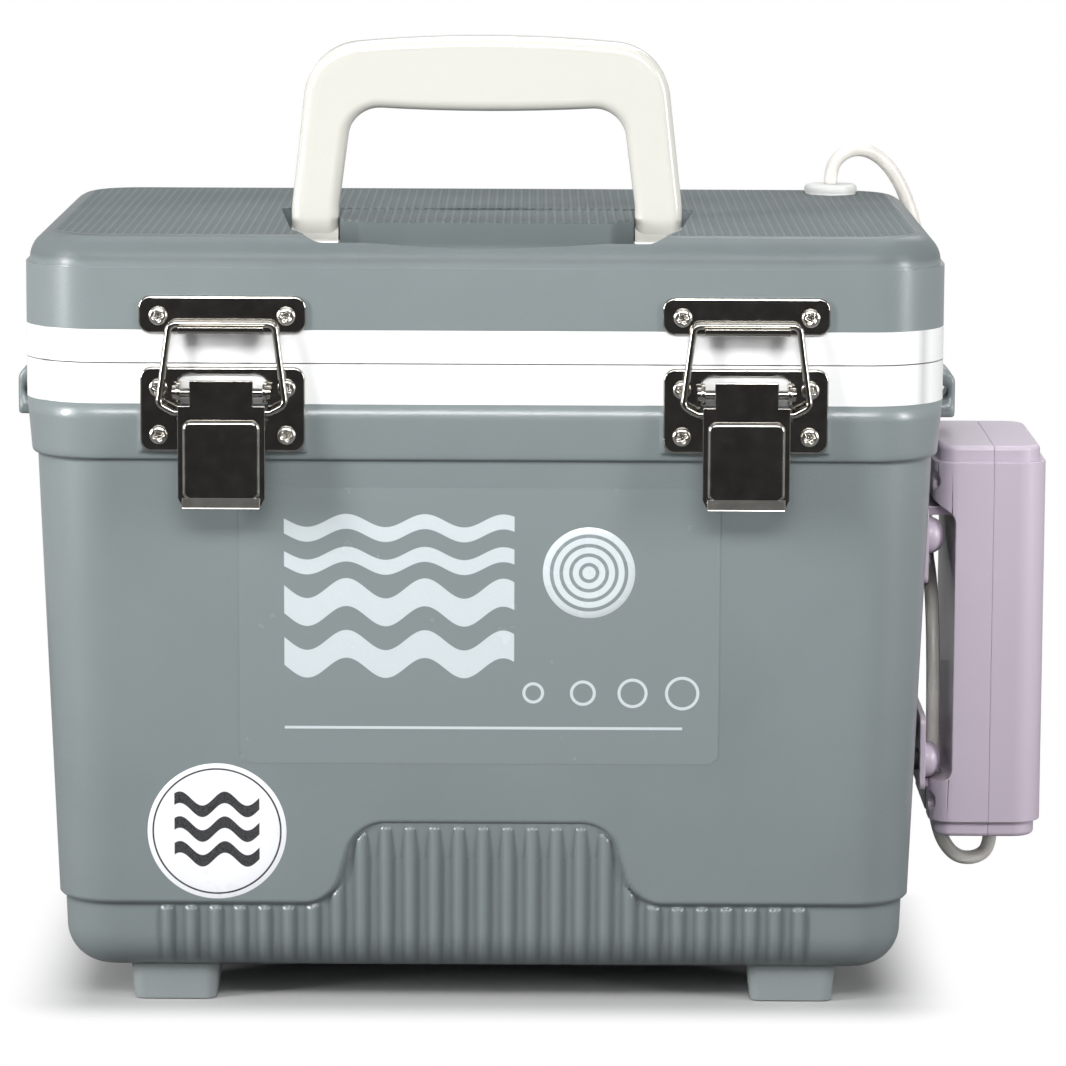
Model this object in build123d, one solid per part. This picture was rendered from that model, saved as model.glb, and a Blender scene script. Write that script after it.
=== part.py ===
from build123d import *
from math import atan2, cos, degrees, hypot, radians, sin, tan
import os

# An insulated live-bait box: a ribbed tub with a foam wall and a white liner, a hinged lid with
# a fold-down handle, two draw latches, and an air pump on the right-hand wall that feeds an
# air stone inside the tub through a hose and a fitting in the lid.
# Millimetres.  +X to the right, +Y to the back, +Z up.  The latches face -Y.
# The origin is on the floor, midway between the four feet.

# ---------------------------------------------------------------- tub: driving sizes
RIM_WIDTH = 305.0          # over the collar, left to right
RIM_DEPTH = 205.0          # over the collar, front to back
RIM_CORNER = 27.0          # plan radius of the collar's corners
FOOT_HEIGHT = 12.0
BODY_HEIGHT = 174.7        # underside of the tub to the underside of the collar
COLLAR_HEIGHT = 18.9
FLANGE_HEIGHT = 13.2       # white rim of the liner that sits on the collar
BODY_INSET = 3.2           # the body under the collar is this much smaller all round
COLLAR_LEAN = 1.6          # the collar narrows by this much towards its lower edge
COLLAR_EDGE = 1.2          # round of the collar's lower edge
BODY_DRAFT = 2.3           # degrees, moulding draft of every tub wall
BODY_CORNER = 26.0         # plan radius of the body's corners under the collar
BASE_ROUND = 15.0          # round between the walls and the underside
TUB_WALL = 2.6
FOAM_GAP = 0.3             # foam to its skins

# the ribbed band round the foot of the tub, with a raised arch in the middle of each long side
BAND_HEIGHT = 23.8         # top of the band above the tub's underside
BAND_STEP = 2.0            # how far the band lies behind the wall above it
ARCH_HEIGHT = 51.6         # top of the arch above the tub's underside
ARCH_HALF_TOP = 42.6       # half width of the arch's sloped sides, at the top
ARCH_HALF_FOOT = 50.6      # the same, at the foot
ARCH_ROUND = 9.0
RIB_PITCH = 8.15
RIB_FOOT = 4.6             # width of a rib at the band's face
RIB_CREST = 2.6            # width of a rib at its crest
RIB_SHY = 0.5              # rib crests stop this much short of the wall above
RIB_COUNT_SIDE = 13        # ribs each side of the middle one

# liner
WALL_TOTAL = 18.5          # outside of the rim to the inside of the liner
CAVITY_CORNER = 14.0
CAVITY_DEPTH = 176.0
CAVITY_FLOOR_ROUND = 10.0
LINER_WALL = 2.2
FLANGE_SKIN = 3.0          # top and skirt of the liner's hollow rim

# feet
FOOT_SIDE = 30.5
FOOT_FROM_END = 48.3       # centre of a foot from the collar's end
FOOT_FROM_FACE = 37.3      # centre of a foot from the collar's front or back face
FOOT_CORNER = 5.0
FOOT_DRAFT = 6.0           # degrees
FOOT_SEAT = 2.0            # a foot's top follows the curved underside up to this much

# strap lugs, one at each end of the collar
LUG_REACH = 9.5
LUG_WIDTH = 22.0           # front to back
LUG_HEIGHT = 17.0
LUG_RISE = 2.0             # a lug's top above the collar's
LUG_AIR = 0.3              # that top's gap to the liner's rim
LUG_CORNER = 5.0
LUG_BORE = 2.6             # radius of the strap-hook hole, along Y

# ---------------------------------------------------------------- lid: driving sizes
LID_BAND_HEIGHT = 11.2     # white rim of the lid
SKIRT_HEIGHT = 20.4        # grey side of the lid up to the step line
CROWN_HEIGHT = 10.4        # from the step line to the top
CROWN_INSET = 1.3
CROWN_ROUND = 9.4
LID_WALL = 3.2
SPLIT_GAP = 0.4            # air between the two white rims, bridged by the gasket
LID_PLATE = 2.4            # underside plate of the lid
PLUG_DROP = 4.6            # the lid's plug reaches this far into the tub
PLUG_GAP = 1.2
PLUG_WALL = 2.2
GASKET_WIDTH = 5.6
GASKET_HEIGHT = 3.0
GASKET_FROM_RIM = 9.6      # outside of the rim to the gasket
GROOVE_GAP = 0.2
GROOVE_BACK = 2.0          # height of the rib that backs the gasket groove

# handle pocket and the block in its middle
POCKET_DEPTH = 22.0
POCKET_WALL = 2.6
POCKET_BACK = 8.5          # y of the pocket's back edge
POCKET_SIDE_AIR = 5.5      # leg to the pocket's side, at the back edge
POCKET_MID_NARROWS = 7.2   # the pocket's sides close in by this much at POCKET_MID
POCKET_FRONT_NARROWS = 13.6
POCKET_MID = -74.0
POCKET_FRONT_LIP = 4.4     # collar face to the pocket's front edge
POCKET_ROUND = 7.0
SCOOP_DEPTH = 4.2          # the lid's front lip dips this far in front of the pocket
SCOOP_HALF = 61.0          # half the width of the dip, one shallow arc
BLOCK_BACK = 0.5
BLOCK_FRONT = -42.5
BLOCK_HALF = 50.0
BLOCK_NARROWS = 7.0        # the block's front corners lie this much nearer the middle
BLOCK_ROUND = 3.0
BLOCK_TAPER = 9.5          # length over which the block narrows to its front face
BLOCK_WALL = 3.0

# handle
HANDLE_PIVOT_Y = -24.5
HANDLE_PIVOT_DROP = 10.8   # pivot below the lid's top
HANDLE_HUB = 8.5           # radius of the rounded leg ends
HANDLE_RISE = 72.4         # pivot to the top of the grip
HANDLE_SIDE_PLAY = 0.5     # block's side to the leg
HANDLE_LEG = 16.0          # width of a leg at the pivot
HANDLE_NARROWS = 4.5       # the legs' inner sides lean in by this much
HANDLE_OUTER_NARROWS = 6.1
HANDLE_CORNER = 20.0       # round of the grip's outer corners
HANDLE_INNER_CORNER = 11.0
HANDLE_KNEE = 20.0         # round where the legs start to lean
HANDLE_UNDER = 48.6        # pivot to the underside of the grip
HANDLE_BELLY = 1.6         # the grip's underside bulges down by this much
HANDLE_CROWN = 3.8         # the grip's top rises this much over its corners
HANDLE_STRAIGHT = 14.3     # the legs stay upright to this height above the pivot
HANDLE_THICK = 15.0
HANDLE_LEAN = 1.0          # the handle's middle lies this far behind its pivots
HANDLE_EDGE = 3.6
HANDLE_PIN = 2.5           # radius
HANDLE_PIN_DEPTH = 11.0    # how far a pin enters its leg
PIN_HEAD = 4.0
PIN_HEAD_THICK = 1.5

# ---------------------------------------------------------------- latches: driving sizes
LATCH_FROM_END = 66.6      # centre of a latch from the collar's end
KEEPER_WIDTH = 55.0
KEEPER_HEIGHT = 12.4
KEEPER_ABOVE_SPLIT = 10.1  # the keeper's lower edge above the split line
PLATE_THICK = 1.3
LATCH_CORNER = 4.0
HOOK_WIDTH = 28.0
HOOK_TROUGH = 6.2          # bail bar's centre to the inside of the hook's lip
HOOK_LIP = 0.7             # the lip's top above the underside of the bail's bar
HOOK_FLOOR_GAP = 0.2
BASE_WIDTH = 54.2
BASE_HEIGHT = 28.1
BASE_BELOW_SPLIT = 0.9     # the base plate's upper edge below the split line
WINDOW_HALF = 14.8
WINDOW_ABOVE_PIVOT = 5.3
WINDOW_BELOW_PIVOT = 9.0
PIVOT_BELOW_SPLIT = 8.8
PIVOT_OUT = 6.2            # pivot in front of the rim's face
PIVOT_PIN = 1.5            # radius
PIVOT_HEAD = 2.3
PIVOT_HEAD_THICK = 1.2
EAR_HALF = 3.2
CRANK = 6.6                # lever pivot to bail pivot, down
CRANK_IN = 0.3             # and inwards: the latch locks over centre
BAIL_WIRE = 1.15           # radius
BAIL_TALL = 28.95          # bail pivot to bar, up
BAR_OUT = 3.9              # bar's centre in front of the rim's face
BAIL_HALF_TOP = 17.2
BAIL_HALF_FOOT = 20.7
BAIL_FOOT_RISE = 2.6
BAIL_BEND = 2.4
LEVER_WIDTH = 28.6
TIP_CUT_WIDE = 1.5         # cut corners of the lever's tip
TIP_CUT_TALL = 3.0
LEVER_SHEET = 1.3
LEVER_OUT = 3.2            # lever's outer face in front of its pivot
LEVER_TAIL = 37.4          # pivot to the lever's tip
TONGUE_HALF = 10.4
TONGUE_RISE = 4.3
SHOULDER_DROP = 4.0
PANEL_HALF = 12.8
PANEL_TOP_DROP = 8.6
PANEL_PROUD = 1.8
PANEL_ROUND = 1.6
FLARE = 2.2                # the tip turns outwards by this much
FLANGE_DEPTH_TOP = 4.6     # lever's turned-in sides, near the pivot
FLANGE_DEPTH_LOW = 1.4
FLANGE_LENGTH = 26.0
SCREW_SPACING_X = 41.9
SCREW_SPACING_Z = 15.5
BASE_SCREW_LOW = 5.6       # lower screws above the base plate's lower edge

# ---------------------------------------------------------------- small fasteners
SCREW_HEAD = 2.8           # radius
SCREW_HEAD_TALL = 1.7
SCREW_SHANK = 1.45         # radius
SCREW_BITE = 3.0           # how far a screw enters the wall behind its plate
RUNNING = 0.05             # radial running clearance of pins in moving pieces
HOLE_GAP = 0.06            # radial clearance round screws and fixed pins

# ---------------------------------------------------------------- rear hinges
HINGE_FROM_END = 66.5
HINGE_WIDTH = 40.0
HINGE_LEAF_TALL = 18.0
HINGE_SCREW_UP = 13.0      # screws from the leaf's inner edge
HINGE_SHEET = 1.3
HINGE_PIN = 1.5            # radius
HINGE_KNUCKLE = 3.1        # radius
HINGE_AIR = 0.3            # knuckle to the back of the box
HINGE_MIDDLE = 16.0        # width of the lid's knuckle
HINGE_SIDE_GAP = 0.2
HINGE_SCREW_X = 13.0

# ---------------------------------------------------------------- air line
HOSE_RADIUS = 2.4
FITTING_FROM_END = 29.5    # fitting from the rim's right-hand end
FITTING_FROM_BACK = 25.0
FITTING_HEAD = 9.5         # radius
FITTING_HEAD_TALL = 2.6
FITTING_WASHER = 9.0
FITTING_WASHER_TALL = 0.9
FITTING_STEM = 4.0
FITTING_BORE = 1.6
FITTING_TAIL = 1.6         # stem stands this far below the lid's plug
FITTING_HOLE_GAP = 0.2
STONE_RADIUS = 7.0
STONE_LENGTH = 36.0
STONE_NIPPLE = 2.0
STONE_NIPPLE_LONG = 5.0

# ---------------------------------------------------------------- pump
PUMP_FRONT = -42.5         # y of the pump's front face
PUMP_DEPTH = 75.0
PUMP_OFF_COLLAR = 0.5      # the pump's near side lies this far beyond the collar's end
PUMP_THICK = 38.6
PUMP_SEAM = 20.2           # inner side to the joint between the two shells
PUMP_ABOVE_UNDER = 36.8    # the pump's underside above the tub's
PUMP_HEIGHT = 135.7
PUMP_CAP = 5.4             # height of the stepped ends
PUMP_CAP_INSET = 2.0
PUMP_CAP_EDGE = 1.6
PUMP_OUTER_ROUND = 10.0
PUMP_INNER_ROUND = 8.0
PUMP_WALL = 1.8
CHANNEL_DEPTH = 7.4
CHANNEL_FOOT = 19.6        # channel's lower end above the pump's underside
CHANNEL_HEAD = 18.2        # channel's upper end below the pump's top
CHANNEL_ROUND = 4.0
CHANNEL_SLOPE = 6.0        # height over which the channel's upper end runs out
TAB_THICK = 2.0
TAB_STAND_OFF = 3.6        # the tabs stand this far off the case, towards the tub
TAB_RUN = 26.0             # height of each tab
TAB_OVERLAP = 3.4          # how far a tab reaches past the channel's end, into the case
STUD_INSET = 8.0           # fixing screws from the pump's front and back faces
STUD_ABOVE_CHANNEL = 6.6   # lower pair above the channel's lower end
STUD_BELOW_CHANNEL = 13.3  # upper pair below the channel's upper end
STUD_SHANK = 2.0
STUD_DOME = 6.3
STUD_DOME_TALL = 5.4
STANDOFF_RADIUS = 3.8
CASE_SCREW_SIDE = 6.0      # case screws from the pump's front and back faces
CASE_SCREW_INSET = 12.1    # case screws from the pump's ends
CASE_SCREW_SINK = 3.4      # radius of the counterbores
CASE_SCREW_DEEP = 6.0
GROOVE_HALF = 3.3          # half width of the hose groove under the channel
GROOVE_DEPTH = 5.6
GROOVE_FOOT = 9.5          # depth of the groove where it opens in the underside

DOOR_HALF = 15.5
DOOR_THICK = 1.5
DOOR_FROM_FRONT = 48.0 
DOOR_FOOT = 14.0           # door's lower edge above the pump's underside
DOOR_BEVEL = 0.8           # the door's edges are undercut by this much, to slide in their rails
DOOR_GAP = 0.15
HATCH_HALF = 13.6
HATCH_LEDGE = 5.0
SHELF_THICK = 1.5
CELL_RADIUS = 13.1
CELL_LENGTH = 49.0
CELL_NUB = 3.0
CELL_NUB_TALL = 1.0
CONTACT_THICK = 0.6
SPRING_TALL = 3.4
CELL_DOOR_GAP = 0.5
SWITCH_FROM_FRONT = 18.5
SWITCH_DROP = 34.0         # switch below the pump's top
SWITCH_HALF_Y = 4.0
SWITCH_HALF_Z = 5.0
SWITCH_TRAVEL = 5.0
SWITCH_PROUD = 0.2
SWITCH_GAP = 0.25
MOTOR_RADIUS = 10.0
MOTOR_LENGTH = 27.0
MOTOR_SHAFT = 1.0
CRANK_DISC = 6.0
CRANK_DISC_THICK = 4.0
HEAD_SIDE = 18.0
HEAD_TALL = 22.0
BARB_RADIUS = 1.9
BARB_LONG = 1.0
OUTLET_IN = 22.6           # outlet from the pump's near side
OUTLET_FROM_FRONT = 20.0
MOTOR_ABOVE_HEAD = 16.0    # room for the diaphragm and the crank

# ---------------------------------------------------------------- worked-out levels
TUB_UNDER = FOOT_HEIGHT
COLLAR_UNDER = TUB_UNDER + BODY_HEIGHT
COLLAR_TOP = COLLAR_UNDER + COLLAR_HEIGHT
SPLIT = COLLAR_TOP + FLANGE_HEIGHT
LID_BAND_TOP = SPLIT + LID_BAND_HEIGHT
LID_STEP = LID_BAND_TOP + SKIRT_HEIGHT
LID_TOP = LID_STEP + CROWN_HEIGHT
RIM_HALF_X = RIM_WIDTH / 2
RIM_HALF_Y = RIM_DEPTH / 2
FRONT = -RIM_HALF_Y
BACK = RIM_HALF_Y
DRAFT = tan(radians(BODY_DRAFT))
CAVITY_FLOOR = SPLIT - CAVITY_DEPTH
LINER_HALF_X = RIM_HALF_X - WALL_TOTAL
LINER_HALF_Y = RIM_HALF_Y - WALL_TOTAL
SHELL_CAVITY_BOTTOM = TUB_UNDER + TUB_WALL
FOOT_X = RIM_HALF_X - FOOT_FROM_END
FOOT_Y = RIM_HALF_Y - FOOT_FROM_FACE
LATCH_X = RIM_HALF_X - LATCH_FROM_END
HINGE_X = RIM_HALF_X - HINGE_FROM_END
FITTING_X = RIM_HALF_X - FITTING_FROM_END
FITTING_Y = RIM_HALF_Y - FITTING_FROM_BACK
HANDLE_LEG_INNER = BLOCK_HALF + HANDLE_SIDE_PLAY
HANDLE_LEG_OUTER = HANDLE_LEG_INNER + HANDLE_LEG
HANDLE_SHOULDER_INNER = HANDLE_LEG_INNER - HANDLE_NARROWS
HANDLE_SHOULDER_OUTER = HANDLE_LEG_OUTER - HANDLE_OUTER_NARROWS
BLOCK_HALF_FRONT = BLOCK_HALF - BLOCK_NARROWS
POCKET_HALF_BACK = HANDLE_LEG_OUTER + POCKET_SIDE_AIR
POCKET_HALF_MID = POCKET_HALF_BACK - POCKET_MID_NARROWS
POCKET_HALF_FRONT = POCKET_HALF_BACK - POCKET_FRONT_NARROWS
PUMP_INNER = RIM_HALF_X + PUMP_OFF_COLLAR
PUMP_OUTER = PUMP_INNER + PUMP_THICK
PUMP_BACK = PUMP_FRONT + PUMP_DEPTH
PUMP_BOTTOM = TUB_UNDER + PUMP_ABOVE_UNDER
TAB_BACK = PUMP_INNER - TAB_STAND_OFF
STUD_Y = [PUMP_FRONT + STUD_INSET, PUMP_BACK - STUD_INSET]
CASE_SCREW_Y = [PUMP_FRONT + CASE_SCREW_SIDE, PUMP_BACK - CASE_SCREW_SIDE]
DOOR_Y = PUMP_FRONT + DOOR_FROM_FRONT
SWITCH_Y = PUMP_FRONT + SWITCH_FROM_FRONT
OUTLET_X = PUMP_INNER + OUTLET_IN
OUTLET_Y = PUMP_FRONT + OUTLET_FROM_FRONT
PARTS = {}


# ---------------------------------------------------------------- forms used by several pieces
def slab(half_x, half_y, corner, low, high):
    """A straight-sided block with rounded plan corners, from one level to another."""
    return Pos(0, 0, low) * extrude(RectangleRounded(2 * half_x, 2 * half_y, corner), high - low)


def drafted(half_x, half_y, corner, low, high, lean):
    """A block whose walls lean in towards the bottom: the sizes are those at its top."""
    shift = lean * (high - low)
    top = Pos(0, 0, high) * RectangleRounded(2 * half_x, 2 * half_y, corner)
    small = RectangleRounded(2 * (half_x - shift), 2 * (half_y - shift), max(corner - shift, 1.0))
    return loft([Pos(0, 0, low) * small, top], ruled=True)


def body_form(inset, low, high):
    """The tub's drafted body, moved in by an inset, between two levels."""
    grow = DRAFT * (high - COLLAR_UNDER)
    half_x = RIM_HALF_X - BODY_INSET - inset + grow
    half_y = RIM_HALF_Y - BODY_INSET - inset + grow
    return drafted(half_x, half_y, BODY_CORNER - inset + grow, low, high, DRAFT)


def cavity_form(outset, low):
    """The bait space, moved outwards by an outset, up to the split line."""
    half_x = LINER_HALF_X + outset
    half_y = LINER_HALF_Y + outset
    block = drafted(half_x, half_y, CAVITY_CORNER + outset, low, SPLIT, DRAFT)
    floor = block.faces().sort_by(Axis.Z)[0]
    return fillet(floor.edges(), CAVITY_FLOOR_ROUND + outset)


def rounded_base(solid, radius):
    """The solid with the edges of its lowest face rounded."""
    return fillet(solid.faces().sort_by(Axis.Z)[0].edges(), radius)


def wall_half_x(level):
    """Half the width of the tub's body at a level, where fittings meet the side wall."""
    return RIM_HALF_X - BODY_INSET + DRAFT * (level - COLLAR_UNDER)


def rod(start, end, radius):
    """A round bar between two points."""
    line = Vector(*end) - Vector(*start)
    plane = Plane(origin=start, z_dir=line)
    return plane * Cylinder(radius, line.length, align=(Align.CENTER, Align.CENTER, Align.MIN))


def both_sides(solid):
    """The solid and its mirror image across the middle plane, as one group."""
    return Compound(children=[*solid.solids(), *mirror(solid, Plane.YZ).solids()])


def group(solids):
    """Separate solids kept as one node."""
    return Compound(children=[s for item in solids for s in item.solids()])


def cord_tube(points, radius, label):
    """A round cord along straight runs joined by arcs as large as the runs allow."""
    route = [Vector(*p) for p in points]
    radii = []
    for before, here, after in zip(route, route[1:], route[2:]):
        one = here - before
        two = after - here
        turn = radians(one.get_angle(two))
        radii.append(0.45 * min(one.length, two.length) / tan(turn / 2))
    path = FilletPolyline(*route, radius=radii)
    start = Plane(origin=route[0], z_dir=route[1] - route[0])
    tube = sweep(start * Circle(radius), path=path)
    share = tube.volume / (path.length * 3.14159265 * radius ** 2)
    print(label, "radii", [round(r, 1) for r in radii])
    print(label, "length", round(path.length, 1), "volume share", round(share, 4))
    return tube


# ---------------------------------------------------------------- screws
def screw(place, direction, bite):
    """A pan-head screw: its head's underside is at place and its shank runs along direction."""
    flare = SCREW_HEAD_TALL * 0.45
    plane = Plane(origin=place, z_dir=direction)
    low = (Align.CENTER, Align.CENTER, Align.MIN)
    high = (Align.CENTER, Align.CENTER, Align.MAX)
    rim = Pos(0, 0, 0) * Cylinder(SCREW_HEAD, SCREW_HEAD_TALL - flare, align=high)
    dome = Pos(0, 0, flare - SCREW_HEAD_TALL) * Rot(180, 0, 0) * Cone(
        SCREW_HEAD, SCREW_HEAD * 0.62, flare, align=low
    )
    return plane * (rim + dome + Cylinder(SCREW_SHANK, bite, align=low))


def screw_hole(place, direction, depth):
    """The hole that a screw's shank sits in."""
    plane = Plane(origin=place, z_dir=direction)
    low = (Align.CENTER, Align.CENTER, Align.MIN)
    return plane * Cylinder(SCREW_SHANK + HOLE_GAP, depth, align=low)


# ---------------------------------------------------------------- tub
LATCH_SIDES = {"left": -LATCH_X, "right": LATCH_X}
PIVOT_Z = SPLIT - PIVOT_BELOW_SPLIT
PIVOT_Y = FRONT - PIVOT_OUT
KEEPER_FOOT = SPLIT + KEEPER_ABOVE_SPLIT
KEEPER_SCREW_Z = KEEPER_FOOT + KEEPER_HEIGHT / 2 - 0.4
BASE_TOP = SPLIT - BASE_BELOW_SPLIT
BASE_FOOT = BASE_TOP - BASE_HEIGHT
BASE_SCREW_LEVELS = [BASE_FOOT + BASE_SCREW_LOW, BASE_FOOT + BASE_SCREW_LOW + SCREW_SPACING_Z]
HINGE_Y = BACK + HINGE_AIR + HINGE_KNUCKLE
HINGE_Z = SPLIT + SPLIT_GAP / 2
HINGE_LEAF_OFF = HINGE_KNUCKLE + 0.4
HINGE_SCREW_OFF = HINGE_LEAF_OFF + HINGE_SCREW_UP
PUMP_MIDDLE_Y = PUMP_FRONT + PUMP_DEPTH / 2
PUMP_TOP = PUMP_BOTTOM + PUMP_HEIGHT
CHANNEL_LOW = PUMP_BOTTOM + CHANNEL_FOOT
CHANNEL_HIGH = PUMP_TOP - CHANNEL_HEAD
STUD_HIGH = CHANNEL_HIGH - STUD_BELOW_CHANNEL
STUD_LEVELS = [CHANNEL_LOW + STUD_ABOVE_CHANNEL, STUD_HIGH]
STUD_PLACES = [(y, z) for y in STUD_Y for z in STUD_LEVELS]
CASE_SCREW_LEVELS = [PUMP_BOTTOM + CASE_SCREW_INSET, PUMP_TOP - CASE_SCREW_INSET]
CASE_SCREW_PLACES = [(y, z) for y in CASE_SCREW_Y for z in CASE_SCREW_LEVELS]


def latch_screws(side_x, levels):
    """Places of a latch plate's screws, on the box's front face."""
    half = SCREW_SPACING_X / 2
    return [(side_x + x, FRONT, z) for z in levels for x in (-half, half)]


def hinge_screws(sign):
    """Places of the hinge screws above (sign 1) or below (sign -1) the hinge line."""
    level = HINGE_Z + sign * HINGE_SCREW_OFF
    return [(x + dx, BACK, level) for x in (-HINGE_X, HINGE_X) for dx in (-HINGE_SCREW_X, HINGE_SCREW_X)]


def arch_outline():
    """The wall above the ribbed band, seen from the front, with the arch cut out of it."""
    low = TUB_UNDER + BAND_HEIGHT
    top = TUB_UNDER + ARCH_HEIGHT
    far = RIM_WIDTH
    high = COLLAR_UNDER + 1
    points = [
        (-far, low),
        (-ARCH_HALF_FOOT, low),
        (-ARCH_HALF_TOP, top),
        (ARCH_HALF_TOP, top),
        (ARCH_HALF_FOOT, low),
        (far, low),
        (far, high),
        (-far, high),
    ]
    face = make_face(Polyline(*points, close=True))
    bends = [v for v in face.vertices() if abs(v.X) < ARCH_HALF_FOOT + 1]
    return fillet(bends, ARCH_ROUND)


def rib(x, side):
    """One moulded rib: a bar with bevelled flanks that leans with the wall it stands on."""
    half_y = RIM_HALF_Y - BODY_INSET - DRAFT * BODY_HEIGHT
    crest = half_y
    foot = half_y - BAND_STEP - 1
    outline = [
        (x - RIB_FOOT / 2, side * foot),
        (x + RIB_FOOT / 2, side * foot),
        (x + RIB_CREST / 2, side * crest),
        (x - RIB_CREST / 2, side * crest),
    ]
    face = Pos(0, 0, TUB_UNDER) * make_face(Polyline(*outline, close=True))
    tall = ARCH_HEIGHT + 1
    return extrude(face, amount=tall / cos(radians(BODY_DRAFT)), dir=(0, side * DRAFT, 1))


def make_outer_tub():
    high = COLLAR_UNDER + 1
    outer = rounded_base(body_form(0, TUB_UNDER, high), BASE_ROUND)
    band = rounded_base(body_form(BAND_STEP, TUB_UNDER, high), BASE_ROUND - BAND_STEP)
    crest = rounded_base(body_form(RIB_SHY, TUB_UNDER, high), BASE_ROUND - RIB_SHY)
    wall_zone = extrude(Plane.XZ * arch_outline(), RIM_DEPTH, both=True)
    places = [i * RIB_PITCH for i in range(-RIB_COUNT_SIDE, RIB_COUNT_SIDE + 1)]
    ribs = [rib(x, side) for x in places for side in (-1, 1)]
    tub = band + (outer & wall_zone) + (Part() + ribs & crest)
    collar = drafted(
        RIM_HALF_X, RIM_HALF_Y, RIM_CORNER, COLLAR_UNDER - 1, COLLAR_TOP, COLLAR_LEAN / COLLAR_HEIGHT
    )
    tub += rounded_base(collar, COLLAR_EDGE)
    for x in LATCH_SIDES.values():
        pad = Pos(x, FRONT, BASE_FOOT) * Box(
            BASE_WIDTH, BODY_INSET, COLLAR_TOP - BASE_FOOT, align=(Align.CENTER, Align.MIN, Align.MIN)
        )
        tub += pad
    leaf_low = HINGE_Z - HINGE_LEAF_OFF - HINGE_LEAF_TALL
    for x in (-HINGE_X, HINGE_X):
        tub += Pos(x, BACK, leaf_low - 1) * Box(
            HINGE_WIDTH + 2, BODY_INSET, COLLAR_TOP - leaf_low + 1, align=(Align.CENTER, Align.MAX, Align.MIN)
        )
    tub += both_sides(strap_lug())
    tub -= tub_room(0)
    tub -= both_sides(lug_bore())
    for x in LATCH_SIDES.values():
        for place in latch_screws(x, BASE_SCREW_LEVELS[:1]):
            tub -= screw_hole(place, (0, 1, 0), SCREW_BITE + 0.3)
    for place in hinge_screws(-1):
        tub -= screw_hole(place, (0, -1, 0), SCREW_BITE + 0.3)
    for y, level in STUD_PLACES:
        start = (wall_half_x(level) - 2 * TUB_WALL, y, level)
        tub -= rod(start, (RIM_HALF_X, y, level), STUD_SHANK + HOLE_GAP)
    return tub


def tub_room(gap):
    """The room inside the tub's skin, smaller by a gap: it steps in behind the ribbed band."""
    step = TUB_UNDER + ARCH_HEIGHT + 3
    low = body_form(TUB_WALL + BAND_STEP + gap, SHELL_CAVITY_BOTTOM + gap, step + gap)
    low = rounded_base(low, BASE_ROUND - BAND_STEP - TUB_WALL - gap)
    high = body_form(TUB_WALL + gap, step + gap, COLLAR_TOP + 1)
    return low + high


def lug_middle():
    """Level of the middle of a strap lug."""
    return COLLAR_TOP + LUG_RISE - LUG_HEIGHT / 2


def strap_lug():
    """The right-hand strap lug: a rounded ear on the collar with a sloping top."""
    reach = RIM_HALF_X + LUG_REACH
    high = COLLAR_TOP + LUG_RISE
    low = high - LUG_HEIGHT
    root = RIM_HALF_X - BODY_INSET
    outline = [
        (root, low),
        (reach, low),
        (reach, high - LUG_REACH * 0.6),
        (reach - LUG_REACH * 0.5, high),
        (RIM_HALF_X + LUG_AIR, high),
        (RIM_HALF_X + LUG_AIR, COLLAR_TOP),
        (root, COLLAR_TOP),
    ]
    face = make_face(Polyline(*outline, close=True))
    face = fillet(face.vertices().sort_by(Axis.X)[-2:].sort_by(Axis.Y)[0], LUG_CORNER)
    return extrude(Plane.XZ * face, LUG_WIDTH / 2, both=True)


def lug_bore():
    """The hole through the right-hand strap lug, front to back."""
    x = RIM_HALF_X + LUG_REACH / 2
    z = lug_middle()
    return rod((x, -LUG_WIDTH, z), (x, LUG_WIDTH, z), LUG_BORE)


def make_inner_liner():
    rim = slab(RIM_HALF_X, RIM_HALF_Y, RIM_CORNER, COLLAR_TOP, SPLIT)
    skin = FLANGE_SKIN
    hollow = slab(RIM_HALF_X - skin, RIM_HALF_Y - skin, RIM_CORNER - skin, COLLAR_TOP, SPLIT - skin)
    outside = cavity_form(LINER_WALL, CAVITY_FLOOR - LINER_WALL)
    liner = rim - hollow + outside
    liner -= cavity_form(0, CAVITY_FLOOR)
    for x in LATCH_SIDES.values():
        for place in latch_screws(x, BASE_SCREW_LEVELS[1:]):
            liner -= screw_hole(place, (0, 1, 0), SCREW_BITE + 0.3)
    return liner


def make_tub_foam():
    fill = tub_room(FOAM_GAP) & slab(RIM_HALF_X, RIM_HALF_Y, 1, 0, COLLAR_TOP - FOAM_GAP)
    fill -= cavity_form(LINER_WALL + FOAM_GAP, CAVITY_FLOOR - LINER_WALL - FOAM_GAP)
    for y, level in STUD_PLACES:
        start = (wall_half_x(level) - 4 * TUB_WALL, y, level)
        fill -= rod(start, (RIM_HALF_X, y, level), STUD_SHANK + FOAM_GAP)
    return fill


def make_foot(sign_x, sign_y, tub):
    """A moulded foot, narrower at the floor, its top following the rounded underside."""
    lean = tan(radians(FOOT_DRAFT))
    half = FOOT_SIDE / 2
    foot = drafted(half, half, FOOT_CORNER, 0, FOOT_HEIGHT + FOOT_SEAT, lean)
    foot = Pos(sign_x * FOOT_X, sign_y * FOOT_Y, 0) * foot
    return foot - tub


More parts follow.
